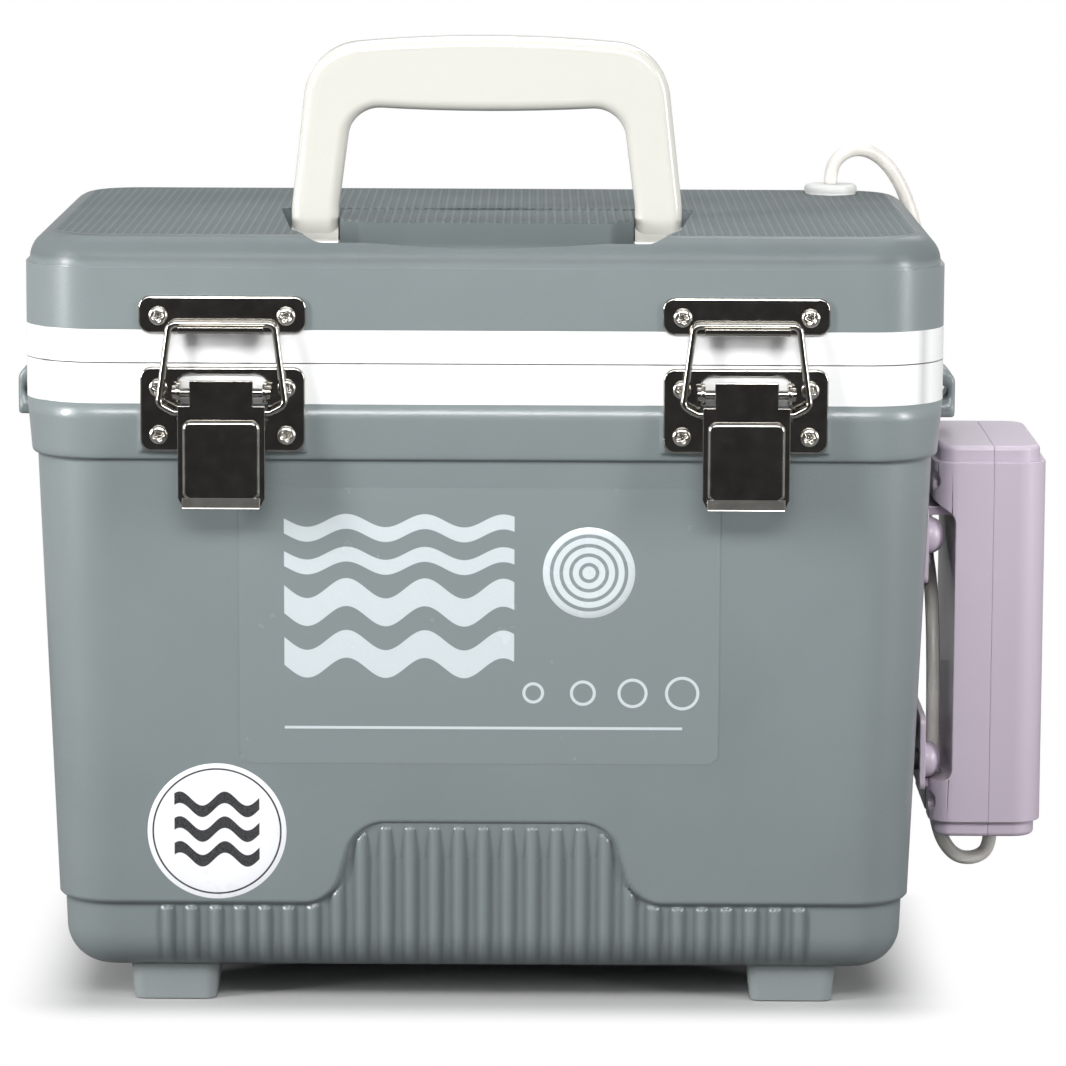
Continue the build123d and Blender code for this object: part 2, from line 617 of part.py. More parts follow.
# ---------------------------------------------------------------- lid
def pocket_outline(grow):
    """Plan of the handle pocket, moved outwards by grow."""
    front = FRONT + POCKET_FRONT_LIP
    points = [
        (-POCKET_HALF_BACK - grow, POCKET_BACK + grow),
        (-POCKET_HALF_MID - grow, POCKET_MID),
        (-POCKET_HALF_FRONT - grow, front - grow * 0.4),
        (POCKET_HALF_FRONT + grow, front - grow * 0.4),
        (POCKET_HALF_MID + grow, POCKET_MID),
        (POCKET_HALF_BACK + grow, POCKET_BACK + grow),
    ]
    face = make_face(Polyline(*points, close=True))
    return fillet(face.vertices(), POCKET_ROUND)


def block_outline(shrink):
    """Plan of the block that stands in the pocket and carries the handle, moved in by shrink."""
    points = [
        (-BLOCK_HALF + shrink, BLOCK_BACK - shrink),
        (-BLOCK_HALF + shrink, BLOCK_FRONT + BLOCK_TAPER),
        (-BLOCK_HALF_FRONT + shrink, BLOCK_FRONT + shrink),
        (BLOCK_HALF_FRONT - shrink, BLOCK_FRONT + shrink),
        (BLOCK_HALF - shrink, BLOCK_FRONT + BLOCK_TAPER),
        (BLOCK_HALF - shrink, BLOCK_BACK - shrink),
    ]
    return make_face(Polyline(*points, close=True))


def prism(face, low, high):
    """An upright prism on a plan outline."""
    return Pos(0, 0, low) * extrude(face, high - low)


HANDLE_Z = LID_TOP - HANDLE_PIVOT_DROP
POCKET_FLOOR = LID_TOP - POCKET_DEPTH


def make_lid_shell():
    crown_x = RIM_HALF_X - CROWN_INSET
    crown_y = RIM_HALF_Y - CROWN_INSET
    skirt = slab(RIM_HALF_X, RIM_HALF_Y, RIM_CORNER, LID_BAND_TOP, LID_STEP)
    crown = slab(crown_x, crown_y, RIM_CORNER - CROWN_INSET, LID_STEP - 1, LID_TOP)
    crown = fillet(crown.faces().sort_by(Axis.Z)[-1].edges(), CROWN_ROUND)
    shell = skirt + crown
    wall = LID_WALL
    void = slab(RIM_HALF_X - wall, RIM_HALF_Y - wall, RIM_CORNER - wall, LID_BAND_TOP, LID_TOP - wall)
    void = fillet(void.faces().sort_by(Axis.Z)[-1].edges(), CROWN_ROUND - 1)
    pocket_case = prism(pocket_outline(POCKET_WALL), POCKET_FLOOR - POCKET_WALL, LID_TOP + 1)
    void -= pocket_case
    inner_block = prism(block_outline(BLOCK_WALL), LID_BAND_TOP, LID_TOP - BLOCK_WALL)
    shell -= void
    shell -= inner_block
    pocket = prism(pocket_outline(0), POCKET_FLOOR, LID_TOP + 1)
    block = fillet(
        prism(block_outline(0), POCKET_FLOOR - 0.5, LID_TOP).edges().filter_by(Axis.Z), BLOCK_ROUND
    )
    shell -= pocket - block
    top = LID_TOP + 0.1
    arc = ThreePointArc((-SCOOP_HALF, top), (0, LID_TOP - SCOOP_DEPTH), (SCOOP_HALF, top))
    dip = make_face(arc + Line((SCOOP_HALF, top), (-SCOOP_HALF, top)))
    lip = extrude(Plane.XZ * dip, RIM_HALF_Y + 1) - extrude(Plane.XZ * dip, -POCKET_MID)
    shell -= lip
    for sign in (-1, 1):
        inside = (sign * (BLOCK_HALF - BLOCK_WALL - 1), HANDLE_PIVOT_Y, HANDLE_Z)
        outside = (sign * (BLOCK_HALF + 1), HANDLE_PIVOT_Y, HANDLE_Z)
        shell -= rod(inside, outside, HANDLE_PIN + HOLE_GAP / 2)
    for x in LATCH_SIDES.values():
        for place in latch_screws(x, [KEEPER_SCREW_Z]):
            shell -= screw_hole(place, (0, 1, 0), LID_WALL + 1)
    for place in hinge_screws(1):
        shell -= screw_hole(place, (0, -1, 0), LID_WALL + 1)
    return shell - fitting_hole()


def fitting_hole():
    """The hole through the lid for the hose fitting."""
    radius = FITTING_STEM + FITTING_HOLE_GAP
    return rod((FITTING_X, FITTING_Y, SPLIT - 20), (FITTING_X, FITTING_Y, LID_TOP + 5), radius)


def make_lid_liner():
    low = SPLIT + SPLIT_GAP
    skin = FLANGE_SKIN
    plate_top = low + LID_PLATE
    liner = slab(RIM_HALF_X, RIM_HALF_Y, RIM_CORNER, low, LID_BAND_TOP)
    liner -= slab(RIM_HALF_X - skin, RIM_HALF_Y - skin, RIM_CORNER - skin, plate_top, LID_BAND_TOP)
    out = GASKET_FROM_RIM - 2
    back_x = RIM_HALF_X - out
    back_y = RIM_HALF_Y - out
    liner += slab(back_x, back_y, RIM_CORNER - out, plate_top, plate_top + GROOVE_BACK)
    plug_x = LINER_HALF_X - PLUG_GAP
    plug_y = LINER_HALF_Y - PLUG_GAP
    corner = CAVITY_CORNER - PLUG_GAP
    liner += slab(plug_x, plug_y, corner, SPLIT - PLUG_DROP, plate_top)
    dish_low = SPLIT - PLUG_DROP + PLUG_WALL
    dish_x = plug_x - PLUG_WALL
    dish_y = plug_y - PLUG_WALL
    liner -= slab(dish_x, dish_y, corner - PLUG_WALL, dish_low, LID_BAND_TOP)
    liner -= gasket_ring(GROOVE_GAP, low - 1, SPLIT + GASKET_HEIGHT)
    return liner - fitting_hole()


def gasket_ring(grow, low, high):
    """A flat ring that follows the rim."""
    far = GASKET_FROM_RIM - grow
    near = GASKET_FROM_RIM + GASKET_WIDTH + grow
    ring = slab(RIM_HALF_X - far, RIM_HALF_Y - far, RIM_CORNER - far, low, high)
    corner = max(RIM_CORNER - near, 3.0)
    return ring - slab(RIM_HALF_X - near, RIM_HALF_Y - near, corner, low - 1, high + 1)


def make_lid_foam():
    gap = FOAM_GAP
    wall = LID_WALL + gap
    low = SPLIT + SPLIT_GAP + LID_PLATE + GROOVE_BACK + gap
    fill = slab(RIM_HALF_X - wall, RIM_HALF_Y - wall, RIM_CORNER - wall, low, LID_TOP - wall)
    fill = fillet(fill.faces().sort_by(Axis.Z)[-1].edges(), CROWN_ROUND - 1)
    case = prism(pocket_outline(POCKET_WALL + gap), POCKET_FLOOR - POCKET_WALL - gap, LID_TOP)
    fill -= case
    stem = FITTING_STEM + FITTING_HOLE_GAP + gap
    fill -= rod((FITTING_X, FITTING_Y, SPLIT), (FITTING_X, FITTING_Y, LID_TOP), stem)
    return fill


# ---------------------------------------------------------------- handle
def make_handle():
    foot = HANDLE_Z
    rise = foot + HANDLE_RISE
    under = foot + HANDLE_UNDER
    corner = rise - HANDLE_CROWN
    straight = foot + HANDLE_STRAIGHT
    outside = Polyline(
        (-HANDLE_LEG_OUTER, foot),
        (-HANDLE_LEG_OUTER, straight),
        (-HANDLE_SHOULDER_OUTER, corner),
    )
    crown = ThreePointArc((-HANDLE_SHOULDER_OUTER, corner), (0, rise), (HANDLE_SHOULDER_OUTER, corner))
    down = Polyline(
        (HANDLE_SHOULDER_OUTER, corner),
        (HANDLE_LEG_OUTER, straight),
        (HANDLE_LEG_OUTER, foot),
        (HANDLE_LEG_INNER, foot),
        (HANDLE_LEG_INNER, straight),
        (HANDLE_SHOULDER_INNER, under),
    )
    belly = ThreePointArc(
        (HANDLE_SHOULDER_INNER, under), (0, under - HANDLE_BELLY), (-HANDLE_SHOULDER_INNER, under)
    )
    back = Polyline(
        (-HANDLE_SHOULDER_INNER, under),
        (-HANDLE_LEG_INNER, straight),
        (-HANDLE_LEG_INNER, foot),
        (-HANDLE_LEG_OUTER, foot),
    )
    face = make_face(outside + crown + down + belly + back)
    shoulders = [v for v in face.vertices() if abs(v.Y - corner) < 0.1]
    face = fillet(shoulders, HANDLE_CORNER)
    insides = [v for v in face.vertices() if abs(v.Y - under) < 0.1 and abs(v.X) < HANDLE_LEG_INNER]
    face = fillet(insides, HANDLE_INNER_CORNER)
    knees = [v for v in face.vertices() if abs(v.Y - straight) < 0.1]
    face = fillet(knees, HANDLE_KNEE)
    middle = HANDLE_PIVOT_Y + HANDLE_LEAN
    plane = Plane(origin=(0, middle, 0), x_dir=(1, 0, 0), z_dir=(0, -1, 0))
    bow = extrude(plane * face, HANDLE_THICK / 2, both=True)
    faces_out = [e for e in bow.edges() if abs(abs(e.center().Y - middle) - HANDLE_THICK / 2) < 0.1]
    bow = fillet([e for e in faces_out if e.center().Z > straight - 6], HANDLE_EDGE)
    for s in (-1, 1):
        inner_end = (s * HANDLE_LEG_INNER, HANDLE_PIVOT_Y, foot)
        bow += rod(inner_end, (s * HANDLE_LEG_OUTER, HANDLE_PIVOT_Y, foot), HANDLE_HUB)
    for s in (-1, 1):
        start = (s * (HANDLE_LEG_INNER - 1), HANDLE_PIVOT_Y, foot)
        end = (s * (HANDLE_LEG_INNER + HANDLE_PIN_DEPTH + 1), HANDLE_PIVOT_Y, foot)
        bow -= rod(start, end, HANDLE_PIN + RUNNING)
    return bow


def make_handle_pins():
    """Headed pins, from inside the block's walls out into the handle's legs."""
    pins = []
    for s in (-1, 1):
        inner = BLOCK_HALF - BLOCK_WALL
        head_start = (s * (inner - PIN_HEAD_THICK), HANDLE_PIVOT_Y, HANDLE_Z)
        seat = (s * inner, HANDLE_PIVOT_Y, HANDLE_Z)
        tip = (s * (HANDLE_LEG_INNER + HANDLE_PIN_DEPTH), HANDLE_PIVOT_Y, HANDLE_Z)
        pins.append(rod(head_start, seat, PIN_HEAD) + rod(seat, tip, HANDLE_PIN))
    return group(pins)


# ---------------------------------------------------------------- latches
BAR_Z = PIVOT_Z - CRANK + BAIL_TALL
BAR_Y = FRONT - BAR_OUT
BAIL_PIVOT_Y = PIVOT_Y + CRANK_IN
BAIL_PIVOT_Z = PIVOT_Z - CRANK


def plate_outline(width, low, high):
    """A latch plate seen from the front, standing at the middle plane."""
    middle = (low + high) / 2
    return Pos(0, middle) * RectangleRounded(width, high - low, LATCH_CORNER)


def front_plate(face, thick):
    """A sheet that lies on the box's front face."""
    plane = Plane(origin=(0, FRONT, 0), x_dir=(1, 0, 0), z_dir=(0, -1, 0))
    return extrude(plane * face, thick)


def across(profile_points, half_width):
    """A profile in the side view (y, z), made that wide to each side of the middle plane."""
    face = make_face(Polyline(*profile_points, close=True))
    return extrude(Plane.YZ * face, half_width, both=True)


def make_keeper(x):
    """Strike plate: a flat sheet whose lower middle turns out into a J that holds the bail."""
    plate = front_plate(plate_outline(KEEPER_WIDTH, KEEPER_FOOT, KEEPER_FOOT + KEEPER_HEIGHT), PLATE_THICK)
    bar_under = BAR_Z - BAIL_WIRE
    floor = bar_under - HOOK_FLOOR_GAP
    lip_top = bar_under + HOOK_LIP
    lip_in = BAR_Y - HOOK_TROUGH
    lip_out = lip_in - PLATE_THICK
    low = floor - PLATE_THICK
    hook = across(
        [
            (FRONT, low),
            (lip_out, low),
            (lip_out, lip_top),
            (lip_in, lip_top),
            (lip_in, floor),
            (FRONT, floor),
        ],
        HOOK_WIDTH / 2,
    )
    heel = [e for e in hook.edges().filter_by(Axis.X) if e.center().Y < lip_in and e.center().Z < floor]
    hook = fillet(heel, PLATE_THICK * 0.9)
    keeper = plate + hook
    for place in latch_screws(0, [KEEPER_SCREW_Z]):
        out = (place[0], place[1] - 5, place[2])
        keeper -= screw_hole(out, (0, 1, 0), 10)
    return Pos(x, 0, 0) * keeper


def make_base_plate(x):
    """Base plate with an arched window and two ears bent out from the window's sides."""
    plate = front_plate(plate_outline(BASE_WIDTH, BASE_FOOT, BASE_TOP), PLATE_THICK)
    top = PIVOT_Z + WINDOW_ABOVE_PIVOT
    low = PIVOT_Z - WINDOW_BELOW_PIVOT
    window = Rectangle(2 * WINDOW_HALF, top - low)
    window = fillet(window.vertices().group_by(Axis.Y)[-1], 4.0)
    plate -= front_plate(Pos(0, (top + low) / 2) * window, 3 * PLATE_THICK)
    for sign in (-1, 1):
        middle = sign * (WINDOW_HALF - LEVER_SHEET / 2)
        root = Pos(middle, PIVOT_Y, PIVOT_Z) * Box(
            LEVER_SHEET, PIVOT_OUT, 2 * EAR_HALF, align=(Align.CENTER, Align.MIN, Align.CENTER)
        )
        ear_start = (middle - LEVER_SHEET / 2, PIVOT_Y, PIVOT_Z)
        tip = rod(ear_start, (middle + LEVER_SHEET / 2, PIVOT_Y, PIVOT_Z), EAR_HALF)
        tab = Pos(sign * (WINDOW_HALF + 0.5), FRONT, PIVOT_Z) * Box(
            1.0, PLATE_THICK, 2 * EAR_HALF, align=(Align.CENTER, Align.MAX, Align.CENTER)
        )
        plate += root + tip + tab
    far = LEVER_WIDTH
    plate -= rod((-far, PIVOT_Y, PIVOT_Z), (far, PIVOT_Y, PIVOT_Z), PIVOT_PIN)
    for place in latch_screws(0, BASE_SCREW_LEVELS):
        out = (place[0], place[1] - 5, place[2])
        plate -= screw_hole(out, (0, 1, 0), 10)
    return Pos(x, 0, 0) * plate


def make_latch_pin(x):
    """The lever's pivot pin, headed outside both ears."""
    ear = WINDOW_HALF + HOLE_GAP
    end = ear + PIVOT_HEAD_THICK
    pin = rod((-ear, PIVOT_Y, PIVOT_Z), (ear, PIVOT_Y, PIVOT_Z), PIVOT_PIN)
    for sign in (-1, 1):
        pin += rod((sign * ear, PIVOT_Y, PIVOT_Z), (sign * end, PIVOT_Y, PIVOT_Z), PIVOT_HEAD)
    return Pos(x, 0, 0) * pin


def make_lever(x):
    """Draw lever: pressed sheet with a tongue at its pivot, turned-in sides, a raised pad and a
    flared tip to pull."""
    face_y = PIVOT_Y - LEVER_OUT
    back_y = face_y + LEVER_SHEET
    shoulder = PIVOT_Z - SHOULDER_DROP
    tail = PIVOT_Z - LEVER_TAIL
    half = LEVER_WIDTH / 2
    outline = [
        (-TONGUE_HALF, PIVOT_Z + TONGUE_RISE),
        (TONGUE_HALF, PIVOT_Z + TONGUE_RISE),
        (TONGUE_HALF, shoulder),
        (half, shoulder),
        (half, tail + TIP_CUT_TALL),
        (half - TIP_CUT_WIDE, tail),
        (-half + TIP_CUT_WIDE, tail),
        (-half, tail + TIP_CUT_TALL),
        (-half, shoulder),
        (-TONGUE_HALF, shoulder),
    ]
    rear = Plane(origin=(0, back_y, 0), x_dir=(1, 0, 0), z_dir=(0, -1, 0))
    sheet = extrude(rear * make_face(Polyline(*outline, close=True)), LEVER_SHEET)
    pad_top = PIVOT_Z - PANEL_TOP_DROP
    pad = Pos(0, face_y, (pad_top + tail) / 2 + 1) * Box(
        2 * PANEL_HALF, PANEL_PROUD, pad_top - tail - 2, align=(Align.CENTER, Align.MAX, Align.CENTER)
    )
    pad = fillet(pad.edges().filter_by(Axis.Y), 3.0)
    pad = fillet(pad.faces().sort_by(Axis.Y)[0].edges(), PANEL_ROUND)
    lip_y = face_y - PANEL_PROUD - FLARE
    flare = across(
        [(back_y, tail + 3.4), (face_y - PANEL_PROUD, tail + 3.4), (lip_y, tail), (face_y + 0.4, tail)],
        half - TIP_CUT_WIDE,
    )
    lever = sheet + pad + flare
    for sign in (-1, 1):
        depth_low = back_y + FLANGE_DEPTH_LOW
        depth_top = back_y + FLANGE_DEPTH_TOP
        side = Plane(origin=(sign * half, 0, 0), x_dir=(0, 1, 0), z_dir=(1, 0, 0))
        skirt = make_face(
            Polyline(
                (back_y - 0.2, shoulder),
                (depth_top, shoulder),
                (depth_top, BAIL_PIVOT_Z - 2.6),
                (depth_low, shoulder - FLANGE_LENGTH),
                (back_y - 0.2, shoulder - FLANGE_LENGTH),
                close=True,
            )
        )
        lever += extrude(side * skirt, -sign * LEVER_SHEET)
        cheek = Plane(origin=(sign * TONGUE_HALF, 0, 0), x_dir=(0, 1, 0), z_dir=(1, 0, 0))
        cheek_face = make_face(
            Polyline(
                (back_y - 0.2, PIVOT_Z + TONGUE_RISE),
                (PIVOT_Y, PIVOT_Z + 2.6),
                (PIVOT_Y + 2.6, PIVOT_Z),
                (PIVOT_Y, PIVOT_Z - 2.6),
                (back_y - 0.2, shoulder),
                close=True,
            )
        )
        lever += extrude(cheek * cheek_face, -sign * LEVER_SHEET)
    far = LEVER_WIDTH
    lever -= rod((-far, PIVOT_Y, PIVOT_Z), (far, PIVOT_Y, PIVOT_Z), PIVOT_PIN + RUNNING)
    bail_start = (-far, BAIL_PIVOT_Y, BAIL_PIVOT_Z)
    lever -= rod(bail_start, (far, BAIL_PIVOT_Y, BAIL_PIVOT_Z), BAIL_WIRE + RUNNING)
    return Pos(x, 0, 0) * lever


def make_bail(x):
    """Wire bail: two legs, a straight bar at the top, and ends that hook into the lever's sides."""
    tip = LEVER_WIDTH / 2 - 2 * LEVER_SHEET + 0.4
    stub = LEVER_WIDTH / 2 + 1.5
    points = [
        (tip, 0),
        (stub, 0),
        (BAIL_HALF_FOOT, BAIL_FOOT_RISE),
        (BAIL_HALF_TOP, BAIL_TALL),
        (-BAIL_HALF_TOP, BAIL_TALL),
        (-BAIL_HALF_FOOT, BAIL_FOOT_RISE),
        (-stub, 0),
        (-tip, 0),
    ]
    reach = BAIL_PIVOT_Y - BAR_Y
    tall = hypot(BAIL_TALL, reach)
    scale = tall / BAIL_TALL
    upright = [Vector(px, 0, pz * scale) for px, pz in points]
    path = FilletPolyline(*upright, radius=BAIL_BEND)
    start = Plane(origin=upright[0], z_dir=upright[1] - upright[0])
    wire = sweep(start * Circle(BAIL_WIRE), path=path)
    lean = degrees(atan2(reach, BAIL_TALL))
    return Pos(x, BAIL_PIVOT_Y, BAIL_PIVOT_Z) * Rot(lean, 0, 0) * wire


# ---------------------------------------------------------------- rear hinges
def hinge_leaf(sign, x):
    """One leaf: sign 1 is the lid's, with the middle knuckle; -1 is the tub's, with two."""
    spans = [(-HINGE_MIDDLE / 2, HINGE_MIDDLE / 2)]
    if sign < 0:
        inner = HINGE_MIDDLE / 2 + HINGE_SIDE_GAP
        spans = [(-HINGE_WIDTH / 2, -inner), (inner, HINGE_WIDTH / 2)]
    low = HINGE_Z + sign * HINGE_LEAF_OFF
    high = low + sign * HINGE_LEAF_TALL
    bottom = min(low, high)
    leaf = Pos(0, BACK, bottom) * Box(
        HINGE_WIDTH, HINGE_SHEET, HINGE_LEAF_TALL, align=(Align.CENTER, Align.MIN, Align.MIN)
    )
    for start, end in spans:
        neck_low = min(HINGE_Z, low)
        neck = Pos((start + end) / 2, BACK + HINGE_AIR / 2, neck_low) * Box(
            end - start, HINGE_SHEET, abs(low - HINGE_Z), align=(Align.CENTER, Align.MIN, Align.MIN)
        )
        knuckle = rod((start, HINGE_Y, HINGE_Z), (end, HINGE_Y, HINGE_Z), HINGE_KNUCKLE)
        leaf += neck + knuckle
    bore = HINGE_PIN + RUNNING if sign > 0 else HINGE_PIN + HOLE_GAP / 3
    leaf -= rod((-HINGE_WIDTH, HINGE_Y, HINGE_Z), (HINGE_WIDTH, HINGE_Y, HINGE_Z), bore)
    leaf = Pos(x, 0, 0) * leaf
    for place in hinge_screws(sign):
        if abs(place[0] - x) < HINGE_WIDTH:
            out = (place[0], place[1] + 5, place[2])
            leaf -= screw_hole(out, (0, -1, 0), 10)
    return leaf


def make_hinge_pin(x):
    half = HINGE_WIDTH / 2 + 0.8
    return rod((x - half, HINGE_Y, HINGE_Z), (x + half, HINGE_Y, HINGE_Z), HINGE_PIN)


# ---------------------------------------------------------------- air line
FITTING_FOOT = SPLIT - PLUG_DROP - FITTING_TAIL
FITTING_TOP = LID_TOP + FITTING_WASHER_TALL + FITTING_HEAD_TALL
BARB_END = PUMP_BOTTOM - BARB_LONG
STONE_REST = CAVITY_FLOOR + STONE_RADIUS


def make_fitting():
    """Air fitting: a round flange on the lid and a stem that reaches through to the bait space."""
    head = Pos(FITTING_X, FITTING_Y, LID_TOP + FITTING_WASHER_TALL) * Cylinder(
        FITTING_HEAD, FITTING_HEAD_TALL, align=(Align.CENTER, Align.CENTER, Align.MIN)
    )
    head = fillet(head.edges().group_by(Axis.Z)[-1], FITTING_HEAD_TALL * 0.6)
    stem = rod((FITTING_X, FITTING_Y, FITTING_FOOT), (FITTING_X, FITTING_Y, LID_TOP + 1), FITTING_STEM)
    bore = rod((FITTING_X, FITTING_Y, FITTING_FOOT - 1), (FITTING_X, FITTING_Y, LID_TOP + 9), FITTING_BORE)
    return head + stem - bore


def make_fitting_washer():
    ring = rod(
        (FITTING_X, FITTING_Y, LID_TOP), (FITTING_X, FITTING_Y, LID_TOP + FITTING_WASHER_TALL), FITTING_WASHER
    )
    hole = FITTING_STEM + HOLE_GAP
    return ring - rod((FITTING_X, FITTING_Y, LID_TOP - 1), (FITTING_X, FITTING_Y, LID_TOP + 5), hole)


HOSE_SIDE = PUMP_INNER + 0.3 * CHANNEL_DEPTH
AIR_HOSE_ROUTE = [
    (OUTLET_X, OUTLET_Y, BARB_END),
    (OUTLET_X, OUTLET_Y, BARB_END - 6.4),
    (OUTLET_X - 4.8, OUTLET_Y + 0.1, BARB_END - 10.2),
    (OUTLET_X - 11.4, OUTLET_Y + 0.2, BARB_END - 9.9),
    (HOSE_SIDE + 4.2, OUTLET_Y + 0.2, BARB_END - 4.6),
    (HOSE_SIDE + 1.7, OUTLET_Y + 0.1, PUMP_BOTTOM + 2.2),
    (HOSE_SIDE + 0.2, OUTLET_Y, PUMP_BOTTOM + 12.7),
    (HOSE_SIDE, OUTLET_Y + 0.3, CHANNEL_LOW + 8.6),
    (HOSE_SIDE + 0.1, OUTLET_Y + 2.5, CHANNEL_LOW + 30.6),
    (HOSE_SIDE + 0.1, OUTLET_Y + 9.5, CHANNEL_LOW + 52.6),
    (HOSE_SIDE + 0.1, PUMP_BACK - 30.5, STUD_HIGH - 19.5),
    (HOSE_SIDE + 0.2, PUMP_BACK - 11.5, STUD_HIGH - 15.0),
    (HOSE_SIDE + 1.0, PUMP_BACK + 6.5, STUD_HIGH - 3.0),
    (RIM_HALF_X + 5.1, FITTING_Y - 21.5, STUD_HIGH + 17.0),
    (RIM_HALF_X + 6.1, FITTING_Y - 5.5, COLLAR_TOP - 9.6),
    (RIM_HALF_X + 6.1, FITTING_Y + 6.1, SPLIT + 4.2),
    (RIM_HALF_X + 2.9, FITTING_Y + 10.3, LID_TOP - 14.8),
    (FITTING_X + 26.2, FITTING_Y + 8.6, LID_TOP + 2.8),
    (FITTING_X + 18.8, FITTING_Y + 5.8, LID_TOP + 12.6),
    (FITTING_X + 10.6, FITTING_Y + 3.0, LID_TOP + 16.4),
    (FITTING_X + 3.8, FITTING_Y + 1.1, LID_TOP + 14.2),
    (FITTING_X, FITTING_Y, FITTING_TOP + 5.7),
    (FITTING_X, FITTING_Y, FITTING_TOP),
]
INNER_HOSE_ROUTE = [
    (FITTING_X, FITTING_Y, FITTING_FOOT),
    (FITTING_X, FITTING_Y, FITTING_FOOT - 9.6),
    (FITTING_X - 2.4, FITTING_Y - 5.5, FITTING_FOOT - 30.6),
    (FITTING_X - 6.4, FITTING_Y - 15.5, CAVITY_FLOOR + 107.2),
    (FITTING_X - 11.0, FITTING_Y - 24.9, CAVITY_FLOOR + 79.2),
    (FITTING_X - 18.0, FITTING_Y - 33.9, CAVITY_FLOOR + 53.2),
    (FITTING_X - 29.0, FITTING_Y - 41.5, CAVITY_FLOOR + 30.2),
    (FITTING_X - 43.0, FITTING_Y - 46.9, CAVITY_FLOOR + 13.2),
    (FITTING_X - 60.0, FITTING_Y - 49.1, STONE_REST),
    (FITTING_X - 77.0, FITTING_Y - 49.1, STONE_REST),
]


def make_air_stone():
    """Cylinder of sintered grit with a nipple, lying on the tub's floor."""
    end = INNER_HOSE_ROUTE[-1]
    shoulder = (end[0] - STONE_NIPPLE_LONG, end[1], end[2])
    tail = (shoulder[0] - STONE_LENGTH, end[1], end[2])
    return rod(tail, shoulder, STONE_RADIUS) + rod(shoulder, end, STONE_NIPPLE)


# ---------------------------------------------------------------- pump
def pump_outline(inset):
    """Plan of the pump's case: tight corners towards the tub, large ones away from it."""
    low_x = PUMP_INNER + inset
    high_x = PUMP_OUTER - inset
    low_y = PUMP_FRONT + inset
    high_y = PUMP_FRONT + PUMP_DEPTH - inset
    face = make_face(Polyline((low_x, low_y), (high_x, low_y), (high_x, high_y), (low_x, high_y), close=True))
    outer = face.vertices().group_by(Axis.X)[-1]
    face = fillet(outer, PUMP_OUTER_ROUND - inset)
    inner = [v for v in face.vertices() if v.X < low_x + 0.1]
    return fillet(inner, max(PUMP_INNER_ROUND - inset, 0.8))


def pump_form():
    """The whole case from outside, with its stepped ends."""
    body = prism(pump_outline(0), PUMP_BOTTOM + PUMP_CAP, PUMP_TOP - PUMP_CAP)
    ends = prism(pump_outline(PUMP_CAP_INSET), PUMP_BOTTOM, PUMP_TOP)
    ends = fillet(ends.faces().sort_by(Axis.Z)[-1].edges(), PUMP_CAP_EDGE)
    ends = fillet(ends.faces().sort_by(Axis.Z)[0].edges(), PUMP_CAP_EDGE)
    return body + ends


def channel_form(inset):
    """The hose channel in the side towards the tub, open at the front and the back."""
    floor = PUMP_INNER + CHANNEL_DEPTH + inset
    out = PUMP_INNER - 1
    points = [
        (out, CHANNEL_LOW - inset),
        (floor, CHANNEL_LOW - inset),
        (floor, CHANNEL_HIGH - CHANNEL_SLOPE + inset),
        (out, CHANNEL_HIGH + inset),
    ]
    face = make_face(Polyline(*points, close=True))
    inner = [v for v in face.vertices() if v.X > floor - 0.1]
    face = fillet(inner, CHANNEL_ROUND)
    return extrude(Plane.XZ * face, PUMP_DEPTH, both=True)


def seam_block(inner_side):
    """Everything on one side of the joint between the two shells."""
    seam = PUMP_INNER + PUMP_SEAM
    align = (Align.MAX if inner_side else Align.MIN, Align.CENTER, Align.CENTER)
    return Pos(seam, PUMP_MIDDLE_Y, (PUMP_BOTTOM + PUMP_TOP) / 2) * Box(
        PUMP_THICK * 2, PUMP_DEPTH * 2, PUMP_HEIGHT * 2, align=align
    )


def pump_void():
    """The room inside the case."""
    inset = PUMP_CAP_INSET + PUMP_WALL
    room = prism(pump_outline(inset), PUMP_BOTTOM + PUMP_WALL, PUMP_TOP - PUMP_WALL)
    deep = PUMP_INNER + CASE_SCREW_DEEP + PUMP_WALL
    around = CASE_SCREW_SINK + PUMP_WALL
    posts = [rod((PUMP_INNER - 5, y, z), (deep, y, z), around) for y, z in CASE_SCREW_PLACES]
    return room - channel_form(PUMP_WALL) - hose_groove(PUMP_WALL) - posts


def hose_groove(inset):
    """The groove by which the hose climbs the case's side towards the tub, into the channel."""
    points = [
        (PUMP_INNER - 2, PUMP_BOTTOM - 1),
        (PUMP_INNER + GROOVE_FOOT + inset, PUMP_BOTTOM - 1),
        (PUMP_INNER + GROOVE_DEPTH + 1.4 + inset, PUMP_BOTTOM + PUMP_CAP),
        (PUMP_INNER + GROOVE_DEPTH + inset, PUMP_BOTTOM + 2 * PUMP_CAP),
        (PUMP_INNER + GROOVE_DEPTH + inset, CHANNEL_LOW + 1),
        (PUMP_INNER - 2, CHANNEL_LOW + 1),
    ]
    half = GROOVE_HALF + inset
    plane = Plane.XZ.offset(-OUTLET_Y)
    return extrude(plane * make_face(Polyline(*points, close=True)), half, both=True)


def pump_tab(low, high, web_low, web_high):
    """A tab that stands off the case towards the tub, with the web that joins it to the case."""
    align = (Align.MIN, Align.CENTER, Align.MIN)
    wide = PUMP_DEPTH - 2 * PUMP_INNER_ROUND
    tab = Pos(TAB_BACK, PUMP_MIDDLE_Y, low) * Box(TAB_THICK, PUMP_DEPTH - 1, high - low, align=align)
    tab = fillet(tab.edges().filter_by(Axis.X), 3.0)
    web_reach = PUMP_INNER + CHANNEL_DEPTH + 1 - TAB_BACK
    web = Pos(TAB_BACK, PUMP_MIDDLE_Y, web_low) * Box(web_reach, wide, web_high - web_low, align=align)
    return tab + web


